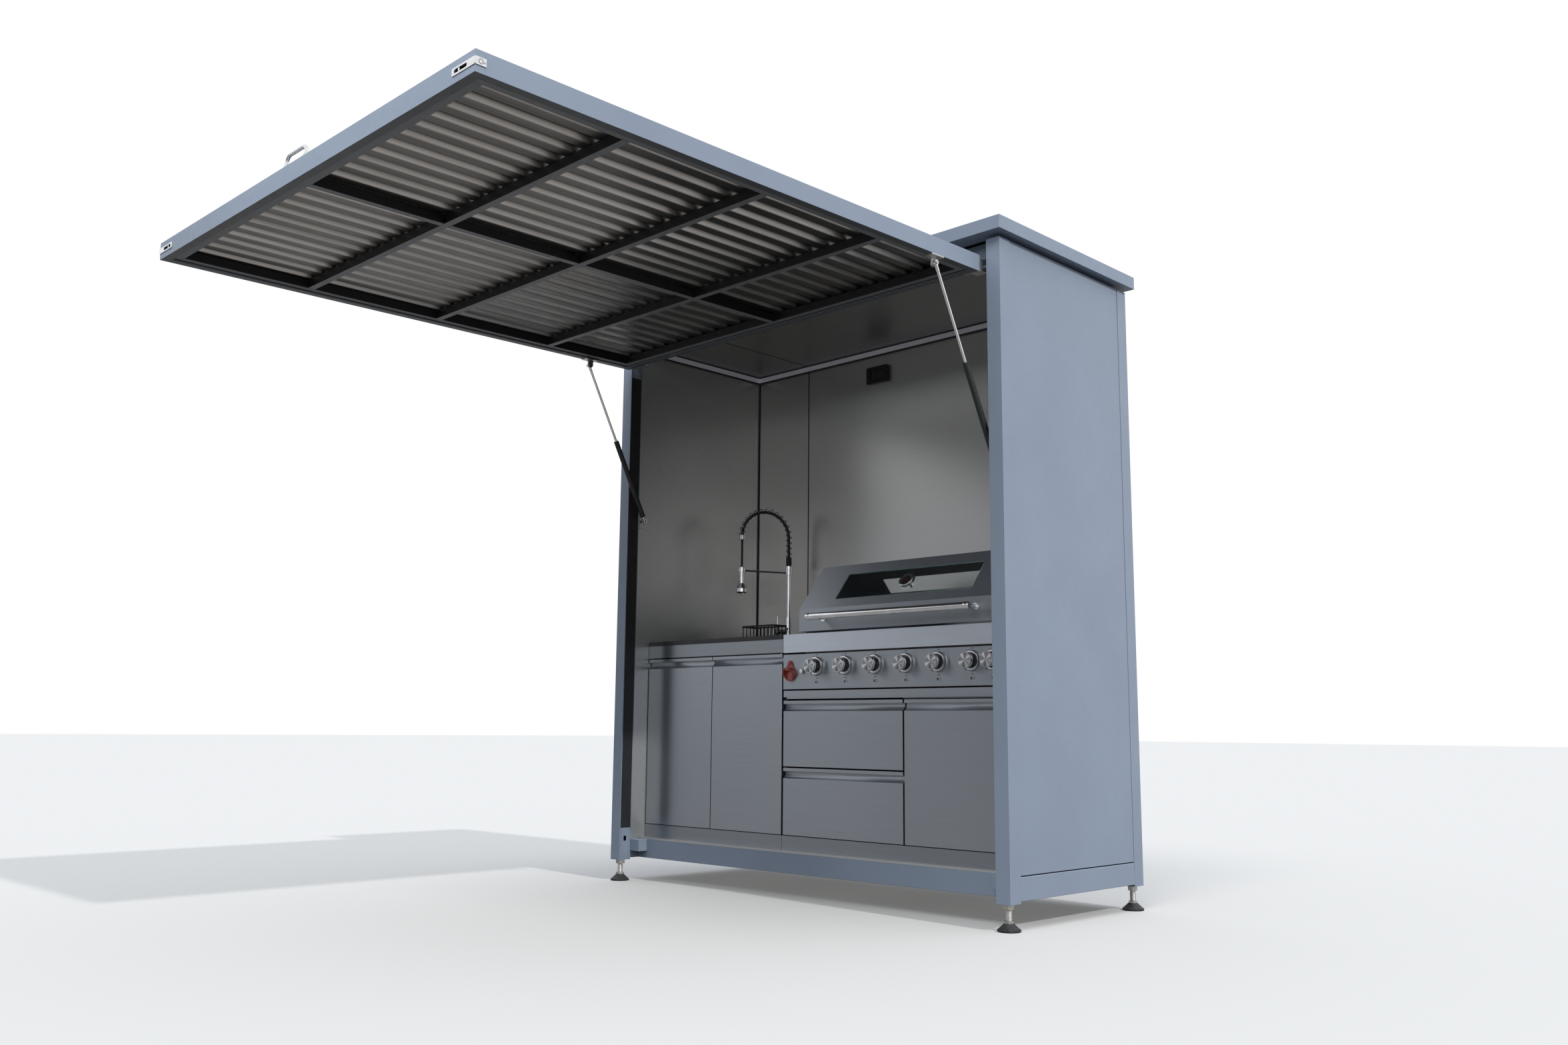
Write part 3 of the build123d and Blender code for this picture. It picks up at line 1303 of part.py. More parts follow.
# Gas train: a manifold with one valve behind each knob, and the burner tubes
panel_rear = kitchen_back + skin
shaft_end = panel_rear + knob_shaft_in
valve_places = knob_places + [side_knob_x]
with BuildPart() as gas_train:
    rod_x((knob_places[0] - pipe_end, side_knob_x + pipe_end), pipe_back, knob_z, pipe_r)
    for valve_x in valve_places:
        valve_span = (valve_x - valve_width / 2, valve_x + valve_width / 2)
        block(valve_span, (panel_rear, pipe_back), (knob_z - valve_width / 2, knob_z + valve_width / 2))
        bore = (panel_rear, shaft_end + moving_gap)
        rod_y(valve_x, bore, knob_z, knob_shaft_r + run_fit, Mode.SUBTRACT)
    rod_z(side_knob_x + pipe_end - pipe_r, pipe_back, (knob_z - inlet_drop, knob_z), pipe_r)
    for burner_x in knob_places:
        rod_y(burner_x, (box_front - burner_wall, box_front), knob_z, burner_r + burner_lip)
        rod_y(burner_x, (box_front, box_in_y[1]), knob_z, burner_r)
        burner_bore = (box_front - burner_wall, box_in_y[1] - 1.5 * burner_wall)
        rod_y(burner_x, burner_bore, knob_z, burner_r - burner_wall, Mode.SUBTRACT)
save(gas_train, "gas_train")

with BuildPart() as flame_tamers:
    with BuildSketch(front_plane(box_in_y[1] - unit_gap)):
        for burner_x in knob_places:
            with BuildLine():
                Polyline(
                    (burner_x - tamer_width / 2, tamer_z),
                    (burner_x - tamer_width / 2, tamer_z + 6),
                    (burner_x, tamer_z + tamer_height),
                    (burner_x + tamer_width / 2, tamer_z + 6),
                    (burner_x + tamer_width / 2, tamer_z),
                    (burner_x + tamer_width / 2 - skin, tamer_z),
                    (burner_x + tamer_width / 2 - skin, tamer_z + 5),
                    (burner_x, tamer_z + tamer_height - 2 * skin),
                    (burner_x - tamer_width / 2 + skin, tamer_z + 5),
                    (burner_x - tamer_width / 2 + skin, tamer_z),
                    close=True,
                )
            make_face()
    extrude(amount=box_in_y[1] - box_in_y[0] - 2 * unit_gap)
save(flame_tamers, "flame_tamers")

# Cast grates: four frames with bars from front to back
grate_span = (box_width - 2 * box_wall) / grate_count
grate_width = grate_span - unit_gap
grate_length = box_in_y[1] - box_in_y[0] - 2 * unit_gap
grate_rim = 12.0
with BuildPart() as cooking_grates:
    with BuildSketch(Plane.XY.offset(grate_z)):
        with Locations((grill_x, behind((box_front + box_back) / 2))):
            with GridLocations(grate_span, 1, grate_count, 1):
                Rectangle(grate_width, grate_length)
                Rectangle(grate_width - 2 * grate_rim, grate_length - 2 * grate_rim, mode=Mode.SUBTRACT)
            with GridLocations(grate_span, 1, grate_count, 1):
                with GridLocations((grate_width - 2 * grate_rim) / (grate_bars + 1), 1, grate_bars, 1):
                    Rectangle(grate_bar, grate_length - grate_rim)
    extrude(amount=grate_bar_height)
save(cooking_grates, "cooking_grates")

# Control panel: a folded pan with shaft holes, round bezels and the igniter's bush
with BuildPart() as control_panel:
    panel_x = (grill_left + unit_gap, grill_right - unit_gap)
    block(panel_x, (kitchen_back, carcass_front), (panel_bottom, panel_top))
    block(
        (panel_x[0] + skin, panel_x[1] - skin),
        (panel_rear, carcass_front),
        (panel_bottom + skin, panel_top - skin),
        Mode.SUBTRACT,
    )
    for valve_x in valve_places:
        with BuildSketch(Plane.YZ.offset(valve_x)) as ring:
            with BuildLine():
                Polyline(
                    (behind(kitchen_back), knob_z + knob_shaft_r + 8),
                    (behind(kitchen_back), knob_z + bezel_r),
                    (behind(kitchen_back - bezel_thick * 0.4), knob_z + bezel_r),
                    (behind(kitchen_back - bezel_thick), knob_z + bezel_r - 3),
                    (behind(kitchen_back - bezel_thick), knob_z + bezel_r - 9),
                    (behind(kitchen_back - bezel_thick * 0.6), knob_z + knob_shaft_r + 8),
                    close=True,
                )
            make_face()
        revolve(ring.sketch, axis=Axis((valve_x, behind(0), knob_z), (0, 1, 0)))
        rod_y(valve_x, (kitchen_back, panel_rear), knob_z, knob_shaft_r + 1, Mode.SUBTRACT)
    rod_y(igniter_x, (panel_rear, carcass_front), igniter_z, igniter_r + 1)
    rod_y(igniter_x, (kitchen_back - 2, kitchen_back), igniter_z, igniter_r + 5)
    rod_y(igniter_x, (kitchen_back - 2, kitchen_back), igniter_z, igniter_r + 1, Mode.SUBTRACT)
    rod_y(igniter_x, (kitchen_back, carcass_front), igniter_z, igniter_r / 2 + run_fit, Mode.SUBTRACT)
save(control_panel, "control_panel")

# Knobs: a turned body with a pointer ridge, on a shaft that enters its valve
knob_face = kitchen_back - knob_stand
for number, valve_x in enumerate(valve_places, 1):
    with BuildPart() as knob:
        with BuildSketch(Plane.YZ.offset(valve_x)):
            with BuildLine():
                Polyline(
                    (behind(knob_face), knob_z),
                    (behind(knob_face), knob_z + knob_r - 2),
                    (behind(knob_face + 2), knob_z + knob_r),
                    (behind(knob_face + knob_body), knob_z + knob_r),
                    (behind(knob_face + knob_body), knob_z + knob_r - 5),
                    (behind(kitchen_back - bezel_thick - 0.5), knob_z + knob_r - 5),
                    (behind(kitchen_back - bezel_thick - 0.5), knob_z + knob_shaft_r),
                    (behind(shaft_end), knob_z + knob_shaft_r),
                    (behind(shaft_end), knob_z),
                    close=True,
                )
            make_face()
        revolve(axis=Axis((valve_x, behind(0), knob_z), (0, 1, 0)))
        with BuildSketch(front_plane(knob_face)):
            with Locations((valve_x, knob_z + knob_r * 0.55)):
                SlotOverall(knob_r * 0.7, 3, rotation=90)
        extrude(amount=1.2)
    save(knob, f"knob_{number}")

# Push igniter: a domed cap on a stem that slides in the panel's bush
igniter_face = kitchen_back - igniter_travel - 6
with BuildPart() as igniter_button:
    rod_y(igniter_x, (igniter_face, igniter_face + 5), igniter_z, igniter_r)
    fillet(igniter_button.edges().group_by(Axis.Y)[0], 1.5)
    rod_y(igniter_x, (igniter_face + 5, carcass_front - igniter_travel - 3), igniter_z, igniter_r / 2)
save(igniter_button, "igniter_button")

# Bottle opener: a cast plate with a hooked mouth
with BuildPart() as bottle_opener:
    with BuildSketch(front_plane(kitchen_back)):
        with Locations((opener_x, opener_z + 30)):
            Circle(10)
        with Locations((opener_x, opener_z - 13)):
            Circle(27)
        make_hull()
    extrude(amount=5)
    with BuildSketch(front_plane(kitchen_back - 5)):
        with Locations((opener_x, opener_z - 13)):
            Circle(27)
            Circle(20, mode=Mode.SUBTRACT)
    extrude(amount=19, taper=6)
    with BuildSketch(Plane.YZ.offset(opener_x - 40)):
        with BuildLine():
            Polyline(
                (behind(kitchen_back - 30), opener_z + 20),
                (behind(kitchen_back - 30), opener_z - 45),
                (behind(kitchen_back - 9), opener_z - 45),
                (behind(kitchen_back - 9), opener_z - 28),
                (behind(kitchen_back - 24), opener_z + 2),
                (behind(kitchen_back - 24), opener_z + 20),
                close=True,
            )
        make_face()
    extrude(amount=80, mode=Mode.SUBTRACT)
    rod_y(opener_x, (kitchen_back - 8, kitchen_back - 5), opener_z + 30, 6)
    block((opener_x - 9, opener_x + 9), (kitchen_back - 22, kitchen_back - 5), (opener_z + 1, opener_z + 8))
save(bottle_opener, "bottle_opener")

# Hood: a folded shell with a window in the front slope and a vent slot in the rear slope
slope = Vector(0, hood_top_front - hood_front, hood_top_z - hood_band_top)
slope_dir = slope.normalized()
slope_out = Vector(1, 0, 0).cross(slope_dir)


def slope_plane(x, z, rise):
    """Plane on the hood's front slope at a height, raised along its normal."""
    along = (z - hood_band_top) / slope_dir.Z
    start = Vector(x, behind(hood_front), hood_band_top)
    return Plane(origin=start + slope_dir * along + slope_out * rise, x_dir=(1, 0, 0), z_dir=slope_out)


hood_shape = [
    (hood_front, hood_bottom),
    (hood_front, hood_band_top),
    (hood_top_front, hood_top_z),
    (hood_top_back, hood_top_z),
    (hood_back, hood_back_z),
    (hood_back, hood_bottom),
]
window_z = (window_low + window_high) / 2
window_height = (window_high - window_low) / slope_dir.Z
with BuildPart() as hood:
    with BuildSketch(Plane.YZ.offset(hood_x[0])) as hood_side:
        with BuildLine():
            Polyline(*[(behind(y), z) for y, z in hood_shape], close=True)
        make_face()
    extrude(amount=hood_width)
    with BuildSketch(Plane.YZ.offset(hood_x[0] + hood_wall)) as hood_inside:
        add(hood_side.sketch_local)
        offset(amount=-hood_wall, kind=Kind.INTERSECTION, mode=Mode.REPLACE)
    extrude(amount=hood_width - 2 * hood_wall, mode=Mode.SUBTRACT)
    block(
        (hood_x[0] + hood_wall, hood_x[1] - hood_wall),
        (hood_front + hood_wall, hood_back - hood_wall),
        (hood_bottom, hood_bottom + 2 * hood_wall),
        Mode.SUBTRACT,
    )
    with BuildSketch(slope_plane(grill_x, window_z, 0)):
        RectangleRounded(window_width, window_height, 8)
    extrude(amount=-2 * hood_wall, mode=Mode.SUBTRACT)
    vent_y = (hood_top_back + 40, hood_top_back + 90)
    block((grill_x - window_width / 2, grill_x + window_width / 2), vent_y, (hood_back_z, hood_top_z), Mode.SUBTRACT)
    for end_x in ((hood_x[0], hood_x[0] + hood_wall), (hood_x[1] - hood_wall, hood_x[1])):
        rod_x(end_x, hood_pivot_back, hood_pivot_z, hood_pin_r + run_fit, Mode.SUBTRACT)
save(hood, "hood")

gauge_stem_r = 4.0
with BuildPart() as hood_glass:
    with BuildSketch(slope_plane(grill_x, window_z, -hood_wall)):
        RectangleRounded(window_width + 2 * glass_margin, window_height + 2 * glass_margin, 10)
        Circle(gauge_stem_r + moving_gap, mode=Mode.SUBTRACT)
    extrude(amount=-glass_thick)
save(hood_glass, "hood_glass")

with BuildPart() as thermometer:
    with BuildSketch(slope_plane(grill_x, window_z, -hood_wall)):
        Circle(gauge_r)
    extrude(amount=hood_wall + 10)
    gauge_rims = thermometer.edges().filter_by(GeomType.CIRCLE)
    fillet(gauge_rims.sort_by(Axis(slope_plane(grill_x, window_z, 0).origin, slope_out))[-1], 3)
    with BuildSketch(slope_plane(grill_x, window_z, 10)):
        Circle(gauge_r - 6)
    extrude(amount=-2, mode=Mode.SUBTRACT)
    with BuildSketch(slope_plane(grill_x, window_z, -hood_wall)):
        Circle(gauge_stem_r)
    extrude(amount=-glass_thick - 30)
save(thermometer, "thermometer")

with BuildPart() as hood_handle:
    grip_x = (grill_x - grip_length / 2, grill_x + grip_length / 2)
    rod_x(grip_x, grip_back, grip_z, grip_r)
    fillet(hood_handle.edges().filter_by(GeomType.CIRCLE), grip_round)
    for arm_x in (grip_x[0] + grip_inset, grip_x[1] - grip_inset):
        rod_y(arm_x, (grip_back, hood_front), grip_z, grip_r * 0.7)
        rod_y(arm_x, (hood_front - grip_rose, hood_front), grip_z, grip_r * 1.15)
save(hood_handle, "hood_handle")
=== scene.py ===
"""Looks of an outdoor barbecue kitchen: finishes, fine pieces, light and camera.

Metres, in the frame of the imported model: X to the right, Y to the back, Z up, floor at Z = 0.
"""
import json
from math import cos, pi, radians, sin, tau

import bmesh
import bpy
from mathutils import Matrix, Vector

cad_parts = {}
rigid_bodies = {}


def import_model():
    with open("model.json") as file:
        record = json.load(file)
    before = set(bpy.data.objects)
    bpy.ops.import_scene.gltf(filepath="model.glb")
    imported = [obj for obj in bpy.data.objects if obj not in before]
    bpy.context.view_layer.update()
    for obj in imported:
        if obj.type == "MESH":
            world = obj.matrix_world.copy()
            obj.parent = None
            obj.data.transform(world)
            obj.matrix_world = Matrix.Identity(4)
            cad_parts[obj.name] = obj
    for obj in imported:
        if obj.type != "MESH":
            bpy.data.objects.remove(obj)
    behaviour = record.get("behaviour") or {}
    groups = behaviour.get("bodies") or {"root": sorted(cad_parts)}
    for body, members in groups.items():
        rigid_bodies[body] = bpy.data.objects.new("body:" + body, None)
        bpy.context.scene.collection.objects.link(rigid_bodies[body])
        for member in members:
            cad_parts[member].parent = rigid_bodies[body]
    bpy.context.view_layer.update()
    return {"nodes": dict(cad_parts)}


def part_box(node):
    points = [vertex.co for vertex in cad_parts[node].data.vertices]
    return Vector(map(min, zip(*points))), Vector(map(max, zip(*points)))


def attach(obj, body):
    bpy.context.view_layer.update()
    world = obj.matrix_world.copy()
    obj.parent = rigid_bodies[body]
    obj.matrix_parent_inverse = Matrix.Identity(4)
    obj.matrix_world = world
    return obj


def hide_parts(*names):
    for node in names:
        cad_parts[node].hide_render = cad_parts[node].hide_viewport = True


for leftover in list(bpy.data.objects):
    bpy.data.objects.remove(leftover)

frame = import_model()
nodes = frame["nodes"]
front_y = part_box("posts")[0].y
scene = bpy.context.scene
scene.view_settings.view_transform = "Standard"


# Finishes
# Most values of a noise texture lie between these two
NOISE_LOW, NOISE_HIGH = 0.3, 0.7
# Upward part of a face's normal where the painted colour of faces that look down, shade on the canopy and
# light on the grid, is full, and where it starts
UNDERSIDE_FULL, UNDERSIDE_START = -0.95, -0.6


class Finish:
    """A procedural material, built up on one Principled shader from noise in the part's frame."""

    def __init__(self, name, color, metallic=0.0, roughness=0.5, **sockets):
        self.material = bpy.data.materials.new(name)
        self.material.use_nodes = True
        self.tree = self.material.node_tree
        self.shader = self.tree.nodes["Principled BSDF"]
        self.set("Base Color", (*color, 1.0))
        self.set("Metallic", metallic)
        self.set("Roughness", roughness)
        for socket, value in sockets.items():
            self.set(socket.replace("_", " "), value)

    def set(self, socket, value):
        self.shader.inputs[socket].default_value = value

    def add(self, kind):
        return self.tree.nodes.new("ShaderNode" + kind)

    def join(self, start, end):
        self.tree.links.new(start, end)

    def noise(self, scale, stretch=(1, 1, 1), detail=4.0):
        """A noise factor; a small stretch value draws the grain out along that axis."""
        place = self.add("TexCoord")
        mapping = self.add("Mapping")
        mapping.inputs["Scale"].default_value = stretch
        grain = self.add("TexNoise")
        grain.inputs["Scale"].default_value = scale
        grain.inputs["Detail"].default_value = detail
        self.join(place.outputs["Object"], mapping.inputs["Vector"])
        self.join(mapping.outputs["Vector"], grain.inputs["Vector"])
        return grain.outputs["Fac"]

    def spread(self, factor, low, high, socket="Roughness"):
        """Drive a number of the shader between two values."""
        spread = self.add("MapRange")
        spread.inputs["From Min"].default_value = NOISE_LOW
        spread.inputs["From Max"].default_value = NOISE_HIGH
        spread.inputs["To Min"].default_value = low
        spread.inputs["To Max"].default_value = high
        self.join(factor, spread.inputs["Value"])
        self.join(spread.outputs["Result"], self.shader.inputs[socket])
        return self

    def tint(self, factor, dark, light):
        """Drive the base colour between two colours."""
        ramp = self.add("ValToRGB")
        ramp.color_ramp.elements[0].position = NOISE_LOW
        ramp.color_ramp.elements[1].position = NOISE_HIGH
        ramp.color_ramp.elements[0].color = (*dark, 1.0)
        ramp.color_ramp.elements[1].color = (*light, 1.0)
        self.join(factor, ramp.inputs["Fac"])
        self.join(ramp.outputs["Color"], self.shader.inputs["Base Color"])
        return self

    def tones(self, factor, stops, hue):
        """Drive the base colour through a row of grey tones in one hue; here these are painted light and
        shade.
        """
        ramp = self.add("ValToRGB")
        while len(ramp.color_ramp.elements) < len(stops):
            ramp.color_ramp.elements.new(0.5)
        for element, (position, tone) in zip(ramp.color_ramp.elements, stops):
            element.position = position
            element.color = (tone * hue[0], tone * hue[1], tone * hue[2], 1.0)
        self.join(factor, ramp.inputs["Fac"])
        self.join(ramp.outputs["Color"], self.shader.inputs["Base Color"])
        return ramp.outputs["Color"]

    def undersides(self, color):
        """Paint the faces that look down in the part's frame a colour for how light falls under the part:
        painted shade or painted light.
        """
        place = self.add("TexCoord")
        axes = self.add("SeparateXYZ")
        level = self.add("MapRange")
        level.inputs["From Min"].default_value = UNDERSIDE_FULL
        level.inputs["From Max"].default_value = UNDERSIDE_START
        level.inputs["To Min"].default_value = 1.0
        level.inputs["To Max"].default_value = 0.0
        mix = self.add("Mix")
        mix.data_type = "RGBA"
        mix.inputs["B"].default_value = (*color, 1.0)
        base = self.shader.inputs["Base Color"]
        self.join(place.outputs["Normal"], axes.inputs["Vector"])
        self.join(axes.outputs["Z"], level.inputs["Value"])
        self.join(level.outputs["Result"], mix.inputs["Factor"])
        self.join(base.links[0].from_socket, mix.inputs["A"])
        self.join(mix.outputs["Result"], base)
        return self

    def bump(self, factor, strength, distance):
        """Raise the surface by a factor, in the shading alone."""
        bump = self.add("Bump")
        bump.inputs["Strength"].default_value = strength
        bump.inputs["Distance"].default_value = distance
        self.join(factor, bump.inputs["Height"])
        self.join(bump.outputs["Normal"], self.shader.inputs["Normal"])
        return self


def shade(color, share):
    """The same colour, lighter or darker by a share."""
    return tuple(min(1.0, max(0.0, channel * (1 + share))) for channel in color)


def painted(name, color, roughness=0.45):
    """Powder coat: a fine orange peel and a slight drift of the colour."""
    drift, peel = 0.045, 0.05
    finish = Finish(name, color, 0.0, roughness)
    finish.tint(finish.noise(3.0, detail=3.0), shade(color, -drift), shade(color, drift))
    finish.spread(finish.noise(40.0), roughness - 0.05, roughness + 0.07)
    return finish.bump(finish.noise(850.0, detail=2.0), peel, 0.0004)


def brushed(name, color, low=0.285, high=0.34, metallic=0.92, smear=0.85):
    """Stainless sheet brushed along X, so that reflections smear up and down, with faint clouds over it."""
    drift = 0.05
    finish = Finish(name, color, metallic, (low + high) / 2, Anisotropic=smear)
    across = finish.add("CombineXYZ")
    across.inputs["Z"].default_value = 1.0
    finish.join(across.outputs["Vector"], finish.shader.inputs["Tangent"])
    finish.tint(finish.noise(1.0, (4.0, 700.0, 700.0), 2.0), shade(color, -drift), shade(color, drift))
    finish.spread(finish.noise(1.6, detail=3.0), low, high)
    return finish.bump(finish.noise(1.0, (3.0, 500.0, 500.0), 2.0), 0.004, 0.0002)


STEEL = (0.385, 0.416, 0.462)
BLUE_GREY = (0.265, 0.315, 0.395)

paint = painted("blue_grey_powder_coat", BLUE_GREY)
# The canopy frame's faces that look down are painted dark charcoal: painted shade under the canopy
canopy_paint_shaded_below = painted("canopy_powder_coat_painted_shade_below", BLUE_GREY).undersides((0.11, 0.115, 0.125))
black_paint = painted("black_powder_coat", (0.018, 0.019, 0.021), 0.5)
# The black grid's faces that look down are painted a lighter charcoal: painted light from below
grid_paint_lit_below = painted("grid_powder_coat_painted_light_below", (0.010, 0.010, 0.012), 0.5).undersides((0.27, 0.27, 0.285))
steel = brushed("brushed_steel", STEEL)
# A darker copy of the brushed steel for the cabinets' carcasses: painted shade
steel_painted_shade = brushed("brushed_steel_painted_shade", shade(STEEL, -0.2))
# The hood: rougher, more drawn-out brushing, on a darker copy of the steel that is painted shade
steel_hood_painted_shade = brushed("brushed_steel_hood_painted_shade", shade(STEEL, -0.08), 0.34, 0.42, 0.9, 0.9)
# A much lighter copy of the brushed steel for the grill deck: a painted reflection of the sky
steel_deck_painted_reflection = brushed("brushed_steel_deck_painted_reflection", shade(STEEL, 0.6))
lining = Finish("steel_lining", (0.60, 0.60, 0.59), 0.75, 0.28)
lining.tint(lining.noise(260.0, (1, 1, 0.4), 2.0), (0.57, 0.57, 0.56), (0.63, 0.63, 0.62))
lining.spread(lining.noise(1.3, detail=3.0), 0.285, 0.33)
lining.bump(lining.noise(240.0, (1, 1, 0.4), 2.0), 0.03, 0.0004)
# The ceiling panels are a dark copy of the lining steel: painted shade under the roof
ceiling = Finish("steel_ceiling_painted_shade", (0.22, 0.22, 0.22), 0.8, 0.34)
ceiling.tint(ceiling.noise(260.0, (1, 0.4, 1), 2.0), (0.205, 0.205, 0.205), (0.235, 0.235, 0.235))
ceiling.spread(ceiling.noise(1.3, detail=3.0), 0.30, 0.38)
ceiling.bump(ceiling.noise(240.0, (1, 0.4, 1), 2.0), 0.03, 0.0004)
# A lighter steel for the firebox, gas train and sink bowl: painted light inside them
inner_steel_painted_light = brushed("steel_inside_painted_light", (0.52, 0.52, 0.52), 0.34, 0.45)

# Galvanised sheet: painted light and shade for each face of a rib, a highlight on the flank and shade on the
# crest, from its foot over the flank and the crest to the next foot
RIB_PITCH = 0.076
RIB_START_X = -0.874
WHOLE_RIBS = 20.0
sheet = Finish("galvanised_sheet_painted_rib_light", (0.36, 0.345, 0.33), 1.0, 0.3)
sheet_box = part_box("canopy_sheet")
sheet_place = sheet.add("TexCoord")
sheet_axes = sheet.add("SeparateXYZ")
ribs = sheet.add("Math")
ribs.operation = "MULTIPLY"
ribs.inputs[1].default_value = (sheet_box[1].x - sheet_box[0].x) / RIB_PITCH
# Whole ribs keep the count above zero before its fraction is taken
phase = sheet.add("Math")
phase.operation = "ADD"
phase.inputs[1].default_value = WHOLE_RIBS - (RIB_START_X - sheet_box[0].x) / RIB_PITCH
rib_share = sheet.add("Math")
rib_share.operation = "FRACT"
# Painted highlight on each rib's flank and painted shade on its crest
rib_light_and_shade = (
    (0.00, 0.17), (0.21, 0.19), (0.25, 0.85), (0.31, 0.60),
    (0.36, 0.12), (0.60, 0.05), (0.78, 0.04), (0.82, 0.16),
)
sheet.join(sheet_place.outputs["Generated"], sheet_axes.inputs["Vector"])
sheet.join(sheet_axes.outputs["X"], ribs.inputs[0])
sheet.join(ribs.outputs["Value"], phase.inputs[0])
sheet.join(phase.outputs["Value"], rib_share.inputs[0])
streaks = sheet.add("Mix")
streaks.data_type = "RGBA"
streaks.blend_type = "MULTIPLY"
streaks.inputs["Factor"].default_value = 0.45
sheet.join(sheet.tones(rib_share.outputs["Value"], rib_light_and_shade, (1.0, 0.955, 0.93)), streaks.inputs["A"])
sheet.tint(sheet.noise(60.0, (1, 0.02, 1), 6.0), (0.35, 0.33, 0.32), (1.0, 1.0, 1.0))
sheet.join(sheet.shader.inputs["Base Color"].links[0].from_socket, streaks.inputs["B"])
sheet.join(streaks.outputs["Result"], sheet.shader.inputs["Base Color"])
sheet.spread(sheet.noise(60.0, (1, 0.3, 1)), 0.29, 0.38)
sheet.bump(sheet.noise(180.0), 0.05, 0.0005)

chrome = Finish("polished_chrome", (0.76, 0.77, 0.79), 1.0, 0.1)
chrome.tint(chrome.noise(30.0), (0.70, 0.71, 0.73), (0.82, 0.83, 0.85))
chrome.spread(chrome.noise(90.0), 0.07, 0.16)

# The tap's spring is chrome painted dark: painted shade for the dark that it reflects
spring_chrome_painted_shade = Finish("dark_spring_chrome_painted_shade", (0.20, 0.20, 0.21), 1.0, 0.2)
spring_chrome_painted_shade.tint(spring_chrome_painted_shade.noise(60.0), (0.16, 0.16, 0.17), (0.25, 0.25, 0.26))
spring_chrome_painted_shade.spread(spring_chrome_painted_shade.noise(200.0), 0.15, 0.25)

zinc = Finish("zinc_plate", (0.55, 0.55, 0.54), 1.0, 0.3)
zinc.tint(zinc.noise(60.0), (0.46, 0.46, 0.45), (0.64, 0.64, 0.62))
zinc.spread(zinc.noise(120.0), 0.29, 0.4)

# The light channels' aluminium glows faintly in a lavender tint: a painted glow that lifts their tone, not a
# lit lamp
aluminium_painted_glow = Finish("satin_aluminium_painted_glow", (0.80, 0.79, 0.86), 0.25, 0.42, Emission_Strength=0.05)
aluminium_painted_glow.set("Emission Color", (0.80, 0.79, 0.90, 1.0))
aluminium_painted_glow.tint(aluminium_painted_glow.noise(5.0), (0.74, 0.73, 0.80), (0.86, 0.85, 0.92))
aluminium_painted_glow.spread(aluminium_painted_glow.noise(1.0, (6, 400, 400)), 0.36, 0.5)

# Spun face of a knob: radial brushing, with painted highlights as light and dark sectors around the knob's
# own Y axis
spun = Finish("spun_knob_face_painted_highlights", (0.60, 0.62, 0.66), 1.0, 0.31, Anisotropic=0.85)
turning = spun.add("Tangent")
turning.direction_type = "RADIAL"
turning.axis = "Y"
spun.join(turning.outputs["Tangent"], spun.shader.inputs["Tangent"])
spun_place = spun.add("TexCoord")
spun_axes = spun.add("SeparateXYZ")
plane = spun.add("CombineXYZ")
around = spun.add("TexGradient")
around.gradient_type = "RADIAL"
# Painted highlights: bright and dark sectors that stand in for the spun face's reflections
sector_painted_highlights = (
    (0.00, 0.30), (0.07, 0.95), (0.13, 0.42), (0.24, 0.24), (0.31, 0.90), (0.37, 0.36), (0.47, 0.62),
    (0.53, 0.28), (0.60, 0.92), (0.66, 0.40), (0.76, 0.22), (0.84, 0.85), (0.90, 0.38), (1.00, 0.30),
)
spun.join(spun_place.outputs["Object"], spun_axes.inputs["Vector"])
spun.join(spun_axes.outputs["X"], plane.inputs["X"])
spun.join(spun_axes.outputs["Z"], plane.inputs["Y"])
spun.join(plane.outputs["Vector"], around.inputs["Vector"])
spun.tones(around.outputs["Fac"], sector_painted_highlights, (0.95, 0.97, 1.0))
spun.spread(spun.noise(260.0), 0.29, 0.34)

slab = Finish("black_slab", (0.012, 0.012, 0.013), 0.0, 0.3)
slab.tint(slab.noise(700.0, detail=2.0), (0.008, 0.008, 0.009), (0.03, 0.03, 0.032))
slab.spread(slab.noise(30.0), 0.285, 0.38)

rubber = Finish("black_rubber", (0.02, 0.021, 0.023), 0.0, 0.65)
rubber.tint(rubber.noise(90.0), (0.014, 0.015, 0.017), (0.034, 0.036, 0.04))
rubber.spread(rubber.noise(240.0), 0.55, 0.75)
rubber.bump(rubber.noise(900.0), 0.1, 0.0004)

plastic = Finish("black_plastic", (0.012, 0.012, 0.012), 0.0, 0.4)
plastic.tint(plastic.noise(120.0), (0.009, 0.009, 0.009), (0.017, 0.017, 0.018))
plastic.spread(plastic.noise(500.0), 0.34, 0.48)

iron = Finish("cast_iron", (0.03, 0.03, 0.03), 0.3, 0.55)
iron.tint(iron.noise(60.0), (0.018, 0.018, 0.018), (0.05, 0.048, 0.045))
iron.bump(iron.noise(420.0), 0.3, 0.0006)

enamel = Finish("red_copper_enamel", (0.42, 0.085, 0.065), 0.35, 0.3, Coat_Weight=0.5, Coat_Roughness=0.12)
enamel.tint(enamel.noise(45.0), (0.34, 0.06, 0.05), (0.5, 0.12, 0.09))
enamel.bump(enamel.noise(300.0), 0.15, 0.0005)

glass = Finish("window_glass", (0.93, 0.97, 0.955), 0.0, 0.02, Transmission_Weight=1.0, IOR=1.46)
glass.spread(glass.noise(8.0), 0.01, 0.05)

glass_edge = Finish("glass_edge", (0.22, 0.36, 0.32), 0.0, 0.2)
glass_edge.tint(glass_edge.noise(30.0), (0.17, 0.29, 0.26), (0.28, 0.43, 0.38))

red_mark = Finish("red_mark", (0.55, 0.02, 0.015), 0.0, 0.4)
red_mark.tint(red_mark.noise(200.0), (0.48, 0.015, 0.01), (0.6, 0.03, 0.02))

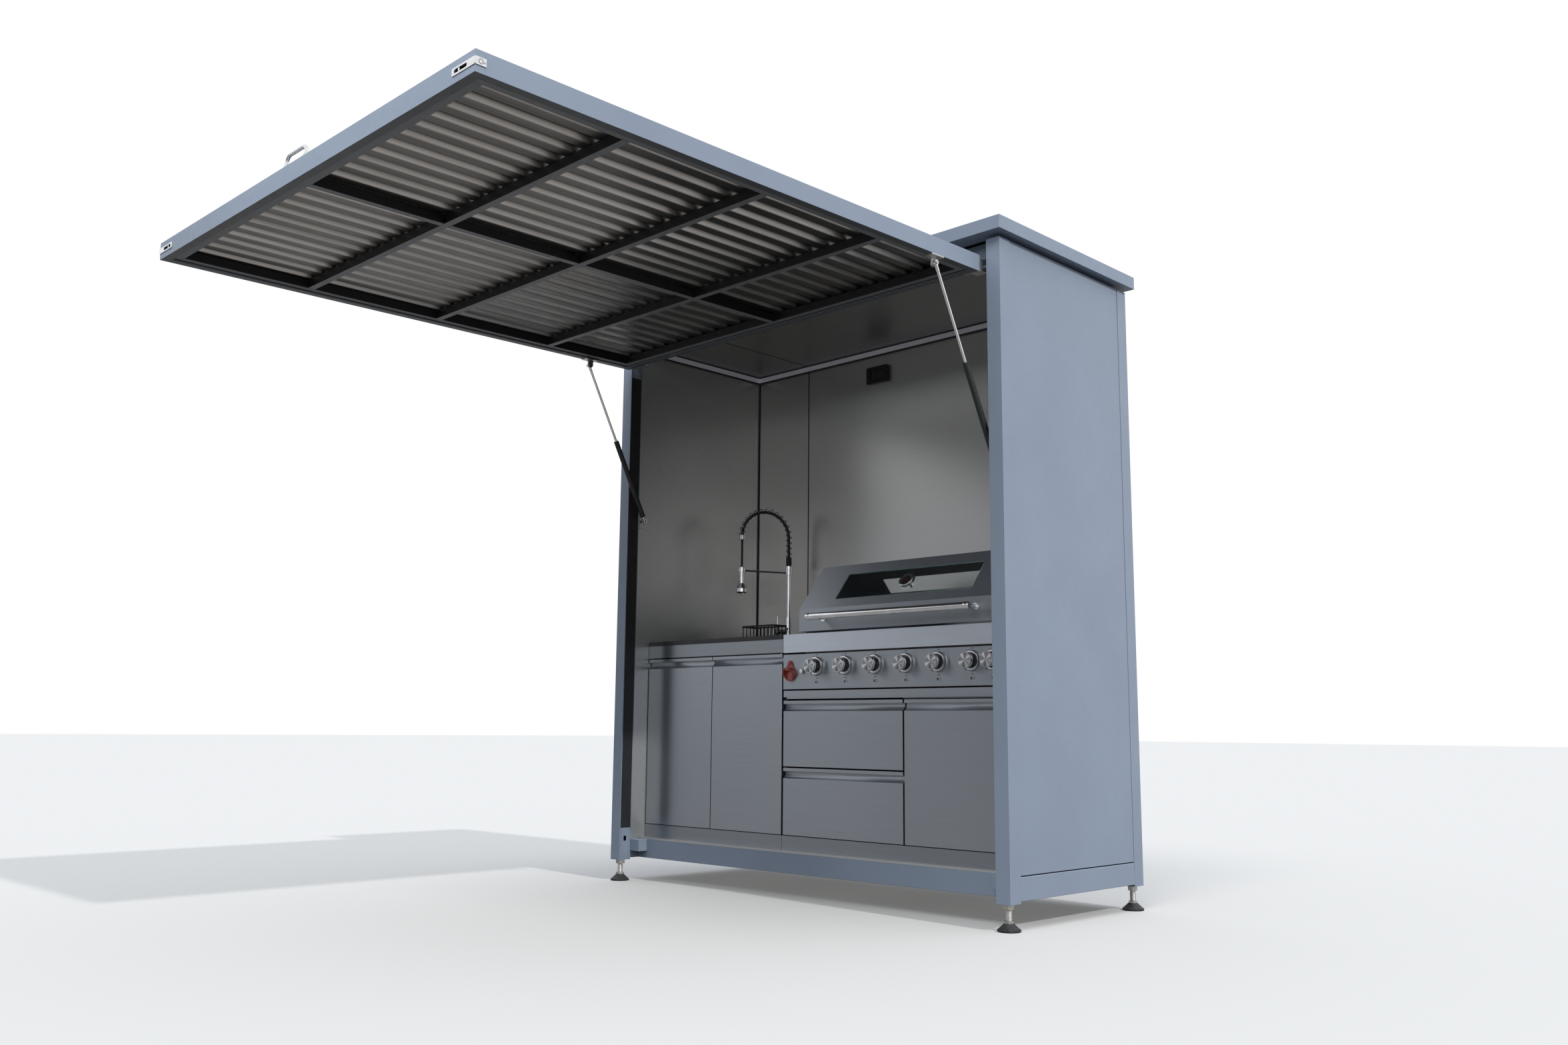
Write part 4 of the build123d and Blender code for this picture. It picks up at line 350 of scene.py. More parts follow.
white_mark = Finish("white_mark", (0.7, 0.7, 0.68), 0.0, 0.5)
white_mark.tint(white_mark.noise(200.0), (0.62, 0.62, 0.6), (0.76, 0.76, 0.74))

node_finishes = {
    paint: ("posts", "base_frame", "side_panels", "rear_panel", "top_frame", "roof_cap"),
    canopy_paint_shaded_below: ("canopy_frame",),
    grid_paint_lit_below: ("canopy_grid",),
    steel: (
        "door_left", "door_middle", "door_right", "drawer_upper", "drawer_lower", "drip_tray",
        "control_panel",
    ),
    steel_deck_painted_reflection: ("grill_deck",),
    steel_hood_painted_shade: ("hood",),
    steel_painted_shade: ("sink_cabinet", "grill_cabinet"),
    lining: ("wall_liners", "floor_panel"),
    ceiling: ("ceiling_panels",),
    inner_steel_painted_light: ("firebox", "flame_tamers", "gas_train", "sink_bowl"),
    black_paint: ("strut_cylinders", "dish_basket"),
    sheet: ("canopy_sheet",),
    aluminium_painted_glow: ("light_strips",),
    chrome: (
        "strut_rods", "tap_column", "tap_lever", "spout_arm", "spray_head", "canopy_handle", "latch_plates",
        "slide_bolt_left", "slide_bolt_right", "hood_handle", "igniter_button", "thermometer", "sink_drain",
    ),
    zinc: ("canopy_brackets", "foot_studs"),
    slab: ("worktop",),
    rubber: ("foot_pads",),
    glass: ("hood_glass",),
    iron: ("cooking_grates",),
    enamel: ("bottle_opener",),
    plastic: ("wall_socket",),
}
for finish, names in node_finishes.items():
    for name in names:
        nodes[name].data.materials.clear()
        nodes[name].data.materials.append(finish.material)

# Sunlight passes the hood's window instead of stopping at the glass
nodes["hood_glass"].visible_shadow = False

# Rounded edges on the sharp solids
WELD_GAP = 1e-5
FLAT_WITHIN = radians(0.4)
SHARP_FROM = radians(40)


def soften(name, width):
    """Round a node's sharp edges, so that they catch the light."""
    weld = nodes[name].modifiers.new("weld", "WELD")
    weld.merge_threshold = WELD_GAP
    flat = nodes[name].modifiers.new("flat", "DECIMATE")
    flat.decimate_type = "DISSOLVE"
    flat.angle_limit = FLAT_WITHIN
    edges = nodes[name].modifiers.new("edges", "BEVEL")
    edges.width = width
    edges.segments = 2
    edges.limit_method = "ANGLE"
    edges.angle_limit = SHARP_FROM
    edges.harden_normals = True


edge_widths = {
    0.0018: ("posts", "base_frame", "roof_cap", "canopy_frame", "top_frame"),
    0.0012: ("canopy_grid", "worktop", "wall_socket"),
    0.0007: (
        "side_panels", "rear_panel", "door_left", "door_middle", "door_right", "drawer_upper", "drawer_lower",
    ),
    0.0005: ("hood", "sink_cabinet", "latch_plates", "grill_deck"),
}
for width, names in edge_widths.items():
    for name in names:
        soften(name, width)

# The canopy frame's corners have many small faces, so its broad faces set the shading there
nodes["canopy_frame"].modifiers["edges"].harden_normals = False
even = nodes["canopy_frame"].modifiers.new("even", "WEIGHTED_NORMAL")
even.weight = 100
even.keep_sharp = True

# Mesh building
X_AXIS = Vector((1, 0, 0))
UP = Vector((0, 0, 1))
SMOOTH_BELOW = radians(38)


def place_at(origin, along, up, out):
    """A matrix that sends local X, Y, Z to three directions at an origin."""
    matrix = Matrix((along, up, out)).transposed().to_4x4()
    matrix.translation = origin
    return matrix


def facing(x, y, z):
    """A place that faces the front: local X to the right, local Y up."""
    return place_at(Vector((x, y, z)), X_AXIS, UP, Vector((0, -1, 0)))


def facing_down(z):
    """A place that faces the floor: local X to the right, local Y to the front."""
    return place_at(Vector((0, 0, z)), X_AXIS, Vector((0, -1, 0)), Vector((0, 0, -1)))


def on_axis(origin, axis):
    """A place whose local Z runs along an axis."""
    out = Vector(axis).normalized()
    along = out.orthogonal().normalized()
    return place_at(Vector(origin), along, out.cross(along), out)


def circle(radius, steps, x=0.0, y=0.0):
    """Points round a circle about a middle."""
    angles = [tau * step / steps for step in range(steps)]
    return [(x + radius * cos(angle), y + radius * sin(angle)) for angle in angles]


def rectangle(width, height, x=0.0, y=0.0):
    """The corners of a rectangle about a middle."""
    return [
        (x - width / 2, y - height / 2),
        (x + width / 2, y - height / 2),
        (x + width / 2, y + height / 2),
        (x - width / 2, y + height / 2),
    ]


def rings_about(shape, place, outline, steps):
    """A ring of vertices about the local Z of a place for each (radius, height) of an outline."""
    rings = []
    for radius, height in outline:
        rings.append([shape.verts.new(place @ Vector((x, y, height))) for x, y in circle(radius, steps)])
    return rings


def bridged(shape, rings):
    """The faces between each ring of vertices and the next."""
    faces = []
    for low, high in zip(rings, rings[1:]):
        for step in range(len(low)):
            after = (step + 1) % len(low)
            faces.append(shape.faces.new((low[step], low[after], high[after], high[step])))
    return faces


def capped(shape, rings):
    """The faces that close the first and the last ring."""
    return [shape.faces.new(list(reversed(rings[0]))), shape.faces.new(rings[-1])]


def paint_faces(faces, paint_index):
    """Give faces one of the materials of their mesh."""
    for face in faces:
        face.material_index = paint_index


def turned(shape, place, outline, steps, paint_index=0):
    """Turn an outline of (radius, height) about the local Z of a place, closed at both ends."""
    rings = rings_about(shape, place, outline, steps)
    paint_faces(bridged(shape, rings) + capped(shape, rings), paint_index)


def ring_turned(shape, place, outline, steps, paint_index=0):
    """Turn a closed outline of (radius, height) into a ring."""
    rings = rings_about(shape, place, outline, steps)
    paint_faces(bridged(shape, rings + rings[:1]), paint_index)


def prism(shape, place, outline, depth, paint_index=0):
    """A flat plate: an outline on a place's local X and Y, thickened along its local Z."""
    rings = []
    for height in (0.0, depth):
        rings.append([shape.verts.new(place @ Vector((u, v, height))) for u, v in outline])
    paint_faces(capped(shape, rings) + bridged(shape, rings), paint_index)


def swept(shape, points, side, radius, sides):
    """A round wire along points, with a side direction to start its section from."""
    rings = []
    for index, point in enumerate(points):
        ahead = points[min(index + 1, len(points) - 1)]
        back = points[max(index - 1, 0)]
        run = (ahead - back).normalized()
        side = (side - run * side.dot(run)).normalized()
        across = run.cross(side)
        ring = []
        for step in range(sides):
            angle = tau * step / sides
            ring.append(shape.verts.new(point + (side * cos(angle) + across * sin(angle)) * radius))
        rings.append(ring)
    bridged(shape, rings)
    capped(shape, rings)


def mesh_of(name, shape, *finishes):
    """A mesh from a finished shape, smooth across gentle edges."""
    bmesh.ops.recalc_face_normals(shape, faces=shape.faces)
    mesh = bpy.data.meshes.new(name)
    shape.to_mesh(mesh)
    shape.free()
    for finish in finishes:
        mesh.materials.append(finish.material)
    mesh.polygons.foreach_set("use_smooth", [True] * len(mesh.polygons))
    mesh.set_sharp_from_angle(angle=SMOOTH_BELOW)
    return mesh


def piece(name, mesh, body, replaced=(), location=(0, 0, 0)):
    """Put a mesh in the scene as a piece that moves with a body."""
    thing = bpy.data.objects.new(name, mesh)
    thing.location = location
    scene.collection.objects.link(thing)
    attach(thing, body)
    if replaced:
        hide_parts(*replaced)


# Sprung hose of the tap: a black hose in an open spring, between a cuff and a ferrule
tap_turn = radians(23)
tap_axis = Vector((-0.658, front_y + 0.700, 0.0))
tap_out = Vector((-sin(tap_turn), -cos(tap_turn), 0.0))
tap_side = tap_out.cross(UP)
spring_low = 1.350
cuff_top = 1.390
cuff_r = 0.0124
arch_z = 1.479
arch_r = 0.113
arch_length = pi * arch_r
ferrule_low = 1.458
ferrule_r = 0.0118
ferrule_lip_r = 0.0110
ferrule_bore_r = 0.0060
spray_top = 1.338
spout_foot = tap_axis + tap_out * 2 * arch_r
coil_r = 0.0119
coil_pitch = 0.0247
points_per_turn = 20
wire_r = 0.0019
hose_r = 0.0065
hose_sag = 0.0030
hose_steps = 120
lower_hose_r = 0.0048


def hose_at(run):
    """The middle line of the hose and its direction, the run counted up from the cuff's foot."""
    straight = arch_z - spring_low
    if run <= straight:
        return tap_axis + Vector((0, 0, spring_low + run)), UP
    turn = (run - straight) / arch_r
    if turn <= pi:
        reach = tap_out * (arch_r - arch_r * cos(turn))
        return (
            tap_axis + reach + Vector((0, 0, arch_z + arch_r * sin(turn))),
            tap_out * sin(turn) + Vector((0, 0, cos(turn))),
        )
    down = run - straight - arch_length
    return spout_foot + Vector((0, 0, arch_z - down)), Vector((0, 0, -1))


coil_start = cuff_top - spring_low
coil_end = arch_z - spring_low + arch_length
coil_steps = int((coil_end - coil_start) / coil_pitch * points_per_turn)
coil_points = []
for step in range(coil_steps + 1):
    run = coil_start + (coil_end - coil_start) * step / coil_steps
    middle, ahead = hose_at(run)
    angle = tau * (run - coil_start) / coil_pitch
    coil_points.append(middle + (tap_side * cos(angle) + ahead.cross(tap_side) * sin(angle)) * coil_r)
shape = bmesh.new()
swept(shape, coil_points, tap_side, wire_r, 8)
cuff = [(cuff_r, spring_low), (cuff_r, cuff_top - 0.002), (0.0116, cuff_top), (0.0077, cuff_top)]
turned(shape, on_axis((tap_axis.x, tap_axis.y, 0), UP), cuff, 36, 1)
ferrule = [
    (ferrule_bore_r, ferrule_low), (ferrule_lip_r, ferrule_low), (ferrule_r, ferrule_low + 0.001),
    (ferrule_r, arch_z - 0.001), (ferrule_lip_r, arch_z), (ferrule_bore_r, arch_z),
]
turned(shape, on_axis(spout_foot, UP), ferrule, 36, 2)
spring_mesh = mesh_of("tap_spring", shape, spring_chrome_painted_shade, rubber, chrome)
piece("tap_spring", spring_mesh, "tap_spout", ["spout_hose"])

hose_points = []
for step in range(hose_steps + 1):
    share = step / hose_steps
    middle, ahead = hose_at(coil_start + (coil_end - coil_start) * share)
    hose_points.append(middle + ahead.cross(tap_side) * hose_sag * sin(pi * share))
lower_start = coil_end + 0.002
lower_end = coil_end + arch_z - spray_top
shape = bmesh.new()
swept(shape, hose_points, tap_side, hose_r, 16)
swept(shape, [hose_at(lower_start)[0], hose_at(lower_end)[0]], tap_side, lower_hose_r, 16)
piece("tap_hose", mesh_of("tap_hose", shape, rubber), "tap_spout", ["spout_hose"])

# Push button on the spray head
button_z = 1.283
button_out = 0.0108
button_width, button_height, button_depth = 0.010, 0.030, 0.004
button_round = 0.0012
button = place_at(spout_foot + tap_out * button_out + Vector((0, 0, button_z)), tap_side, UP, tap_out)
shape = bmesh.new()
prism(shape, button, rectangle(button_width, button_height), button_depth)
bmesh.ops.bevel(shape, geom=list(shape.edges), offset=button_round, segments=2, affect="EDGES", profile=0.5)
piece("spray_button", mesh_of("spray_button", shape, zinc), "tap_spout")

# Knobs: a fluted skirt, a spun face in a raised rim, a black neck and a red dot
knob_z = 0.863
knob_first_x, knob_pitch, knob_last_x = 0.042, 0.1448, 0.854
knob_x = [knob_first_x + knob_pitch * place for place in range(6)] + [knob_last_x]
panel_face = front_y + 0.1355
knob_reach = 0.046
knob_face = panel_face - knob_reach
flutes = 44
flute_depth = 0.0007
dot_r, dot_thick = 0.0026, 0.0015
dot = facing(0, 0.0009, 0.0205)
PLAIN, FLUTED, NECK, FACE = range(4)
knob_paints = {PLAIN: 0, FLUTED: 0, NECK: 1, FACE: 2}
dot_paint = 3
knob_outline = [
    (0.0040, -0.0625, PLAIN), (0.0040, -0.0318, PLAIN), (0.0218, -0.0313, NECK), (0.0218, -0.0134, NECK),
    (0.0258, -0.0130, PLAIN), (0.0266, -0.0122, PLAIN), (0.0270, -0.0112, FLUTED), (0.0270, -0.0046, FLUTED),
    (0.0266, -0.0036, PLAIN), (0.0266, -0.0012, PLAIN), (0.0256, 0.0002, PLAIN), (0.0246, 0.0002, PLAIN),
    (0.0242, -0.0003, FACE), (0.0012, 0.0008, FACE),
]
outward = facing(0, 0, 0)
shape = bmesh.new()
rings = []
for radius, height, part in knob_outline:
    ring = []
    for step in range(flutes * 2):
        angle = tau * step / (flutes * 2)
        reach = radius - flute_depth if part == FLUTED and step % 2 else radius
        ring.append(shape.verts.new(outward @ Vector((reach * cos(angle), reach * sin(angle), height))))
    rings.append(ring)
for low, high, (_, _, part) in zip(rings, rings[1:], knob_outline[1:]):
    paint_faces(bridged(shape, [low, high]), knob_paints[part])
capped(shape, rings)[1].material_index = knob_paints[FACE]
prism(shape, dot, circle(dot_r, 12), dot_thick, dot_paint)
knob_mesh = mesh_of("knob", shape, chrome, plastic, spun, red_mark)
for number, x in enumerate(knob_x, 1):
    body = f"knob_{number}"
    piece(f"turned_{body}", knob_mesh, body, [body], (x, knob_face, knob_z))

# Polished bezels over the panel's rings, each with a black groove
# A hair's breadth keeps a piece's faces out of the plane that it lies on
hair = 0.0001
bezel = [
    (0.0358, 0.0), (0.0358, 0.0052), (0.0350, 0.0062), (0.0328, 0.0143), (0.0322, 0.0146), (0.0268, 0.0146),
    (0.0258, 0.0140), (0.0225, 0.0100), (0.0225, 0.0),
]
groove = [(0.0355, 0.0050), (0.0361, 0.0052), (0.0361, 0.0060), (0.0352, 0.0062)]
shape = bmesh.new()
for x in knob_x:
    seat = facing(x, panel_face - hair, knob_z)
    ring_turned(shape, seat, bezel, 56)
    ring_turned(shape, seat, groove, 56, 1)
piece("knob_bezels", mesh_of("knob_bezels", shape, chrome, plastic), "cabinet")

# Printed scales: a widening arc, a mark above and below, and a burner sign
ink = 0.0003
scale_r = 0.0400
arc_from, arc_to, arc_steps = radians(98), radians(232), 24
arc_thin, arc_gain = 0.0006, 0.0026
mark_width, mark_height = 0.010, 0.0022
sign_y = -0.060
sign_edges = [
    rectangle(0.018, 0.001, 0, sign_y + 0.0035),
    rectangle(0.018, 0.001, 0, sign_y - 0.0035),
    rectangle(0.001, 0.006, -0.0085, sign_y),
    rectangle(0.001, 0.006, 0.0085, sign_y),
]
sign_fill = rectangle(0.005, 0.006, -0.004, sign_y)
outer, inner = [], []
for step in range(arc_steps + 1):
    angle = arc_from + (arc_to - arc_from) * step / arc_steps
    reach = scale_r + arc_thin + arc_gain * step / arc_steps
    outer.append((reach * cos(angle), reach * sin(angle)))
    inner.append((scale_r * cos(angle), scale_r * sin(angle)))
arc = outer + inner[::-1]
marks = [rectangle(mark_width, mark_height, 0.0, y) for y in (0.0435, -0.0455)]
shape = bmesh.new()
for x in knob_x:
    for outline in [arc, *marks, *sign_edges, sign_fill]:
        prism(shape, facing(x, panel_face + hair, knob_z), outline, ink)
piece("knob_scales", mesh_of("knob_scales", shape, plastic), "cabinet")

# Slope of the hood, which carries the window and the thermometer
hood_x = 0.410
slope_low_z = 1.085
slope_dir = Vector((0, 0.142, 0.177)).normalized()
slope_out = X_AXIS.cross(slope_dir)
slope_low = Vector((hood_x, front_y + 0.1575, slope_low_z))


def up_slope(z):
    """How far up the slope a height lies."""
    return (z - slope_low_z) / slope_dir.z


# Dial of the hood's thermometer
gauge_z = 1.170
dial_out = 0.0081
dial_r = 0.0258
dial_thick = 0.0004
tick_r, tick_thick = 0.0235, 0.0002
tick_last = 24
tick_start, tick_sweep = 225, 270
needle_angle = radians(215)
needle_lift, needle_thick = 0.0003, 0.0003
needle_outline = [(-0.006, -0.0011), (0.019, -0.0004), (0.019, 0.0004), (-0.006, 0.0011)]
hub = [(0.0026, 0.0), (0.0026, 0.0010), (0.0018, 0.0014)]
dial_middle = slope_low + slope_dir * up_slope(gauge_z)
dial = place_at(dial_middle + slope_out * dial_out, X_AXIS, slope_dir, slope_out)
lifted = dial @ Matrix.Translation((0, 0, dial_thick))
shape = bmesh.new()
turned(shape, dial, [(dial_r, 0.0), (dial_r, dial_thick)], 48)
for tick in range(tick_last + 1):
    angle = radians(tick_start - tick_sweep * tick / tick_last)
    long_tick = tick % 4 == 0
    length = 0.0050 if long_tick else 0.0028
    width = 0.0010 if long_tick else 0.0006
    turn = lifted @ Matrix.Rotation(angle, 4, "Z")
    prism(shape, turn, rectangle(length, width, tick_r - length / 2, 0), tick_thick, 1)
needle = lifted @ Matrix.Translation((0, 0, needle_lift)) @ Matrix.Rotation(needle_angle, 4, "Z")
prism(shape, needle, needle_outline, needle_thick, 2)
turned(shape, lifted, hub, 20, 2)
dial_mesh = mesh_of("thermometer_dial", shape, plastic, white_mark, red_mark)
piece("thermometer_dial", dial_mesh, "hood")

# Glass edge that shows in the window's cut-out
window_half = 0.321
window_low, window_high = 1.118, 1.222
window_inset = 0.0019
run_low, run_high = up_slope(window_low), up_slope(window_high)
edge = 0.0022
edge_thick = 0.0016
edge_gap = 0.0002
edge_middle = edge / 2 + edge_gap
edge_length = 2 * window_half - 0.014
edge_height = run_high - run_low - 0.016
window = place_at(slope_low - slope_out * window_inset, X_AXIS, slope_dir, slope_out)
shape = bmesh.new()
for y in (run_high - edge_middle, run_low + edge_middle):
    prism(shape, window, rectangle(edge_length, edge, 0, y), edge_thick)
for hand in (-1, 1):
    strip = rectangle(edge, edge_height, hand * (window_half - edge_middle), (run_low + run_high) / 2)
    prism(shape, window, strip, edge_thick)
piece("window_edge", mesh_of("window_edge", shape, glass_edge), "hood")

# Collars round the two ends of the hood's grip
grip_low, grip_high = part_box("hood_handle")
grip_y = front_y + 0.090
grip_z = 1.048
collar_inset = 0.006
collar = [
    (0.0120, 0.0), (0.0131, 0.0), (0.0136, 0.0008), (0.0136, 0.0152), (0.0131, 0.0160), (0.0120, 0.0160),
]
shape = bmesh.new()
for x, way in ((grip_low.x + collar_inset, 1), (grip_high.x - collar_inset, -1)):
    ring_turned(shape, on_axis((x, grip_y, grip_z), (way, 0, 0)), collar, 48)
piece("grip_collars", mesh_of("grip_collars", shape, chrome), "hood")

# Threads of the levelling feet, which stand under the middles of the posts
foot_x = 0.9725
front_post_y, rear_post_y = front_y + 0.0295, front_y + 0.7915
thread_low, thread_high, thread_pitch = 0.0345, 0.0685, 0.0026
core_r, root_r, crest_r = 0.0095, 0.01005, 0.0107
thread = [(core_r, thread_low)]
for turn in range(int((thread_high - thread_low) / thread_pitch)):
    low = thread_low + turn * thread_pitch
    thread += [(root_r, low + 0.0002), (crest_r, low + 0.0011)]
    thread += [(crest_r, low + 0.0015), (root_r, low + 0.0024)]
thread += [(core_r, thread_high)]
shape = bmesh.new()
for x in (-foot_x, foot_x):
    for y in (front_post_y, rear_post_y):
        ring_turned(shape, on_axis((x, y, 0), UP), thread, 28)
piece("foot_threads", mesh_of("foot_threads", shape, zinc), "cabinet")

# Canopy as it stands open: its directions, and its root at the lower inner edge
droop = radians(0.75)
canopy_out = Vector((0, -cos(droop), -sin(droop)))
canopy_up = Vector((0, -sin(droop), cos(droop)))
canopy_thick = 0.057
canopy_length = 1.983
canopy_half = 0.9356
latch_leaf = 0.002
hinge = Vector((0, front_y + canopy_thick / 2, 2.1965))
canopy_root = hinge + canopy_out * canopy_thick - canopy_up * (canopy_thick / 2)


def on_leaf(hand, inset):
    """A place on the side leaf of a latch plate, an inset back from the canopy's front edge."""
    spot = canopy_root + canopy_out * (canopy_length - inset) + canopy_up * (canopy_thick / 2)
    return on_axis(spot + Vector((hand * (canopy_half + latch_leaf), 0, 0)), (hand, 0, 0))


# Screw heads on the latch plates
screw_inset = 0.0255
screw_head = [(0.0034, -0.0002), (0.0034, 0.0006), (0.0028, 0.0014), (0.0016, 0.0018), (0.0015, 0.0009)]
shape = bmesh.new()
for hand in (-1, 1):
    turned(shape, on_leaf(hand, screw_inset), screw_head, 20)
piece("latch_screws", mesh_of("latch_screws", shape, chrome), "canopy")

# Dark bushes that the latch bolts run through
bolt_inset = 0.015
bush = [(0.0053, -0.0002), (0.0065, -0.0002), (0.0065, 0.0003), (0.0053, 0.0003)]
shape = bmesh.new()
for hand in (-1, 1):
    ring_turned(shape, on_leaf(hand, bolt_inset), bush, 32)
piece("latch_bushes", mesh_of("latch_bushes", shape, black_paint), "canopy")

# Black sheet with screw heads on the inner faces of the front posts: painted shade over the posts' blue-grey
# inner faces
inner_x = 0.945
shade_strip_low, shade_strip_high = 0.215, 2.140
shade_strip_width, shade_strip_thick = 0.052, 0.0005
screw_pitch = 0.134
screw_rows = int((shade_strip_high - shade_strip_low) / screw_pitch)
strip = rectangle(shade_strip_width, shade_strip_high - shade_strip_low, 0, (shade_strip_low + shade_strip_high) / 2)
shape = bmesh.new()
for hand in (-1, 1):
    foot = Vector((hand * inner_x, front_post_y, 0))
    prism(shape, place_at(foot, Vector((0, -hand, 0)), UP, Vector((-hand, 0, 0))), strip, shade_strip_thick)
    for row in range(1, screw_rows + 1):
        spot = Vector((hand * (inner_x - shade_strip_thick), front_post_y, shade_strip_high - row * screw_pitch))
        turned(shape, on_axis(spot, (-hand, 0, 0)), screw_head, 20)
piece("post_shade_strips", mesh_of("post_shade_strips", shape, black_paint), "cabinet")

# Bright sockets at the lower ends of the gas struts
strut_x = 0.922
strut_low = Vector((0, front_y + 0.0735, 1.510))
bracket_out, bracket_drop = 0.223, 0.0235
strut_high = canopy_root + canopy_out * bracket_out - canopy_up * bracket_drop
strut_dir = (strut_high - strut_low).normalized()
neck = [(0.0064, 0.0102), (0.0074, 0.0110), (0.0074, 0.0185), (0.0064, 0.0196)]
eye = [
    (0.0088, -0.0064), (0.0094, -0.0056), (0.0094, 0.0056),
    (0.0088, 0.0064), (0.0040, 0.0064), (0.0040, -0.0064),
]
shape = bmesh.new()
for x in (-strut_x, strut_x):
    foot = strut_low + Vector((x, 0, 0))
    turned(shape, on_axis(foot, strut_dir), neck, 24)
    ring_turned(shape, on_axis(foot, X_AXIS), eye, 28)
piece("strut_sockets", mesh_of("strut_sockets", shape, chrome), "strut_cylinders")

# Black strips below and above the light channels: a strip at the back wall and one at each side
light_low = 2.262
light_high = light_low + 0.0245
dark_band_low, dark_band_high = 0.005, 0.0035
wall_front, wall_back = front_y + 0.1048, front_y + 0.786
end_gap = 0.02
side_length = wall_back - wall_front - end_gap
dark_bands = (
    (light_low, dark_band_low, 0.010, 0.0055),
    (light_high, dark_band_high, 0.0135, 0.0072),
)
shape = bmesh.new()
for z, thick, width, inset in dark_bands:
    underside = facing_down(z)
    prism(shape, underside, rectangle(2 * inner_x - end_gap, width, 0, inset - wall_back), thick)
    for hand in (-1, 1):
        strip = rectangle(width, side_length, hand * (inner_x - inset), -(wall_front + wall_back) / 2)
        prism(shape, underside, strip, thick)
piece("light_dark_bands", mesh_of("light_dark_bands", shape, rubber), "cabinet")

# Black fillers in the seams of the back wall and the ceiling, and a black strip in the back wall's left
# corner as painted shade over the post behind the gap
seam_x = -0.620
seam_width, corner_width = 0.006, 0.008
seam_thick, corner_thick = 0.0004, 0.0012
corner_inset = 0.0047
wall_low, wall_high = 0.992, light_low - dark_band_low
wall_middle = (wall_low + wall_high) / 2
ceiling_z = 2.287
ceiling_seam, ceiling_middle = 0.64, front_y + 0.45
back_face = facing(0, wall_back - hair, 0)
shape = bmesh.new()
prism(shape, back_face, rectangle(seam_width, wall_high - wall_low, seam_x, wall_middle), seam_thick)
# The black corner strip is painted shade over the post that shows in the corner's gap
corner = rectangle(corner_width, wall_high - wall_low, corner_inset - inner_x, wall_middle)
prism(shape, back_face, corner, corner_thick)
prism(shape, facing_down(ceiling_z), rectangle(seam_width, ceiling_seam, seam_x, -ceiling_middle), seam_thick)
piece("seam_fillers_and_corner_shade", mesh_of("seam_fillers_and_corner_shade", shape, rubber), "cabinet")

# Insert of the wall socket: two modules behind a hinged frame
socket_x, socket_z = -0.196, 2.170
socket_back = wall_back - 0.0109
module_x = 0.0175
module_width, module_height, module_thick = 0.033, 0.040, 0.0025
hole_r, hole_y, hole_thick = 0.0022, 0.0095, 0.0006
socket = facing(socket_x, socket_back, socket_z)
module_face = socket @ Matrix.Translation((0, 0, module_thick))
shape = bmesh.new()
for hand in (-1, 1):
    prism(shape, socket, rectangle(module_width, module_height, hand * module_x, 0), module_thick)
    for row in (-1, 1):
        prism(shape, module_face, circle(hole_r, 12, hand * module_x, row * hole_y), hole_thick)
piece("socket_modules", mesh_of("socket_modules", shape, rubber), "cabinet")

# Camera, solved from the photo's straight edges
camera_spot = Vector((3.5059, front_y - 3.5944, 0.6265))
yaw, pitch, roll = radians(44.339), radians(8.782), radians(0.482)
ahead = Vector((-sin(yaw) * cos(pitch), cos(yaw) * cos(pitch), sin(pitch)))
level = Vector((cos(yaw), sin(yaw), 0))
above = level.cross(ahead)
right = level * cos(roll) + above * sin(roll)
upward = above * cos(roll) - level * sin(roll)
camera_data = bpy.data.cameras.new("camera")
camera_data.sensor_width = 36.0
camera_data.lens = 30.697
camera_data.clip_end = 200.0
camera = bpy.data.objects.new("camera", camera_data)
camera.matrix_world = place_at(camera_spot, right, upward, ahead * -1)
scene.collection.objects.link(camera)
scene.camera = camera


# Sky: white where it is seen, and a dome that is brighter above where it lights the object
def seen_rays(tree):
    """A factor of 1 for rays that show the background: straight, mirrored or through glass."""
    rays = tree.nodes.new("ShaderNodeLightPath")
    total = rays.outputs["Is Camera Ray"]
    for kind in ("Is Glossy Ray", "Is Transmission Ray"):
        larger = tree.nodes.new("ShaderNodeMath")
        larger.operation = "MAXIMUM"
        tree.links.new(total, larger.inputs[0])
        tree.links.new(rays.outputs[kind], larger.inputs[1])
        total = larger.outputs[0]
    return total


world = bpy.data.worlds.new("studio")
scene.world = world
world.use_nodes = True
tree = world.node_tree
background = tree.nodes["Background"]
sky_place = tree.nodes.new("ShaderNodeTexCoord")
sky_axes = tree.nodes.new("ShaderNodeSeparateXYZ")
dome = tree.nodes.new("ShaderNodeMix")
dome.data_type = "RGBA"
dome.inputs["A"].default_value = (0.03, 0.032, 0.035, 1.0)
dome.inputs["B"].default_value = (1.38, 1.50, 1.68, 1.0)
sky = tree.nodes.new("ShaderNodeMix")
sky.data_type = "RGBA"
sky.inputs["B"].default_value = (1.0, 1.0, 1.0, 1.0)
tree.links.new(sky_place.outputs["Generated"], sky_axes.inputs["Vector"])
tree.links.new(sky_axes.outputs["Z"], dome.inputs["Factor"])
tree.links.new(dome.outputs["Result"], sky.inputs["A"])
tree.links.new(seen_rays(tree), sky.inputs["Factor"])
tree.links.new(sky.outputs["Result"], background.inputs["Color"])


# Lamps
def lamp(name, direction, strength, angle, mirrored=True):
    """A sun lamp that shines along a direction, seen in polished surfaces or not."""
    data = bpy.data.lights.new(name, "SUN")
    data.energy = strength
    data.angle = radians(angle)
    sun = bpy.data.objects.new(name, data)
    sun.rotation_mode = "QUATERNION"
    sun.rotation_quaternion = Vector(direction).to_track_quat("-Z", "Y")
    sun.visible_glossy = mirrored
    scene.collection.objects.link(sun)


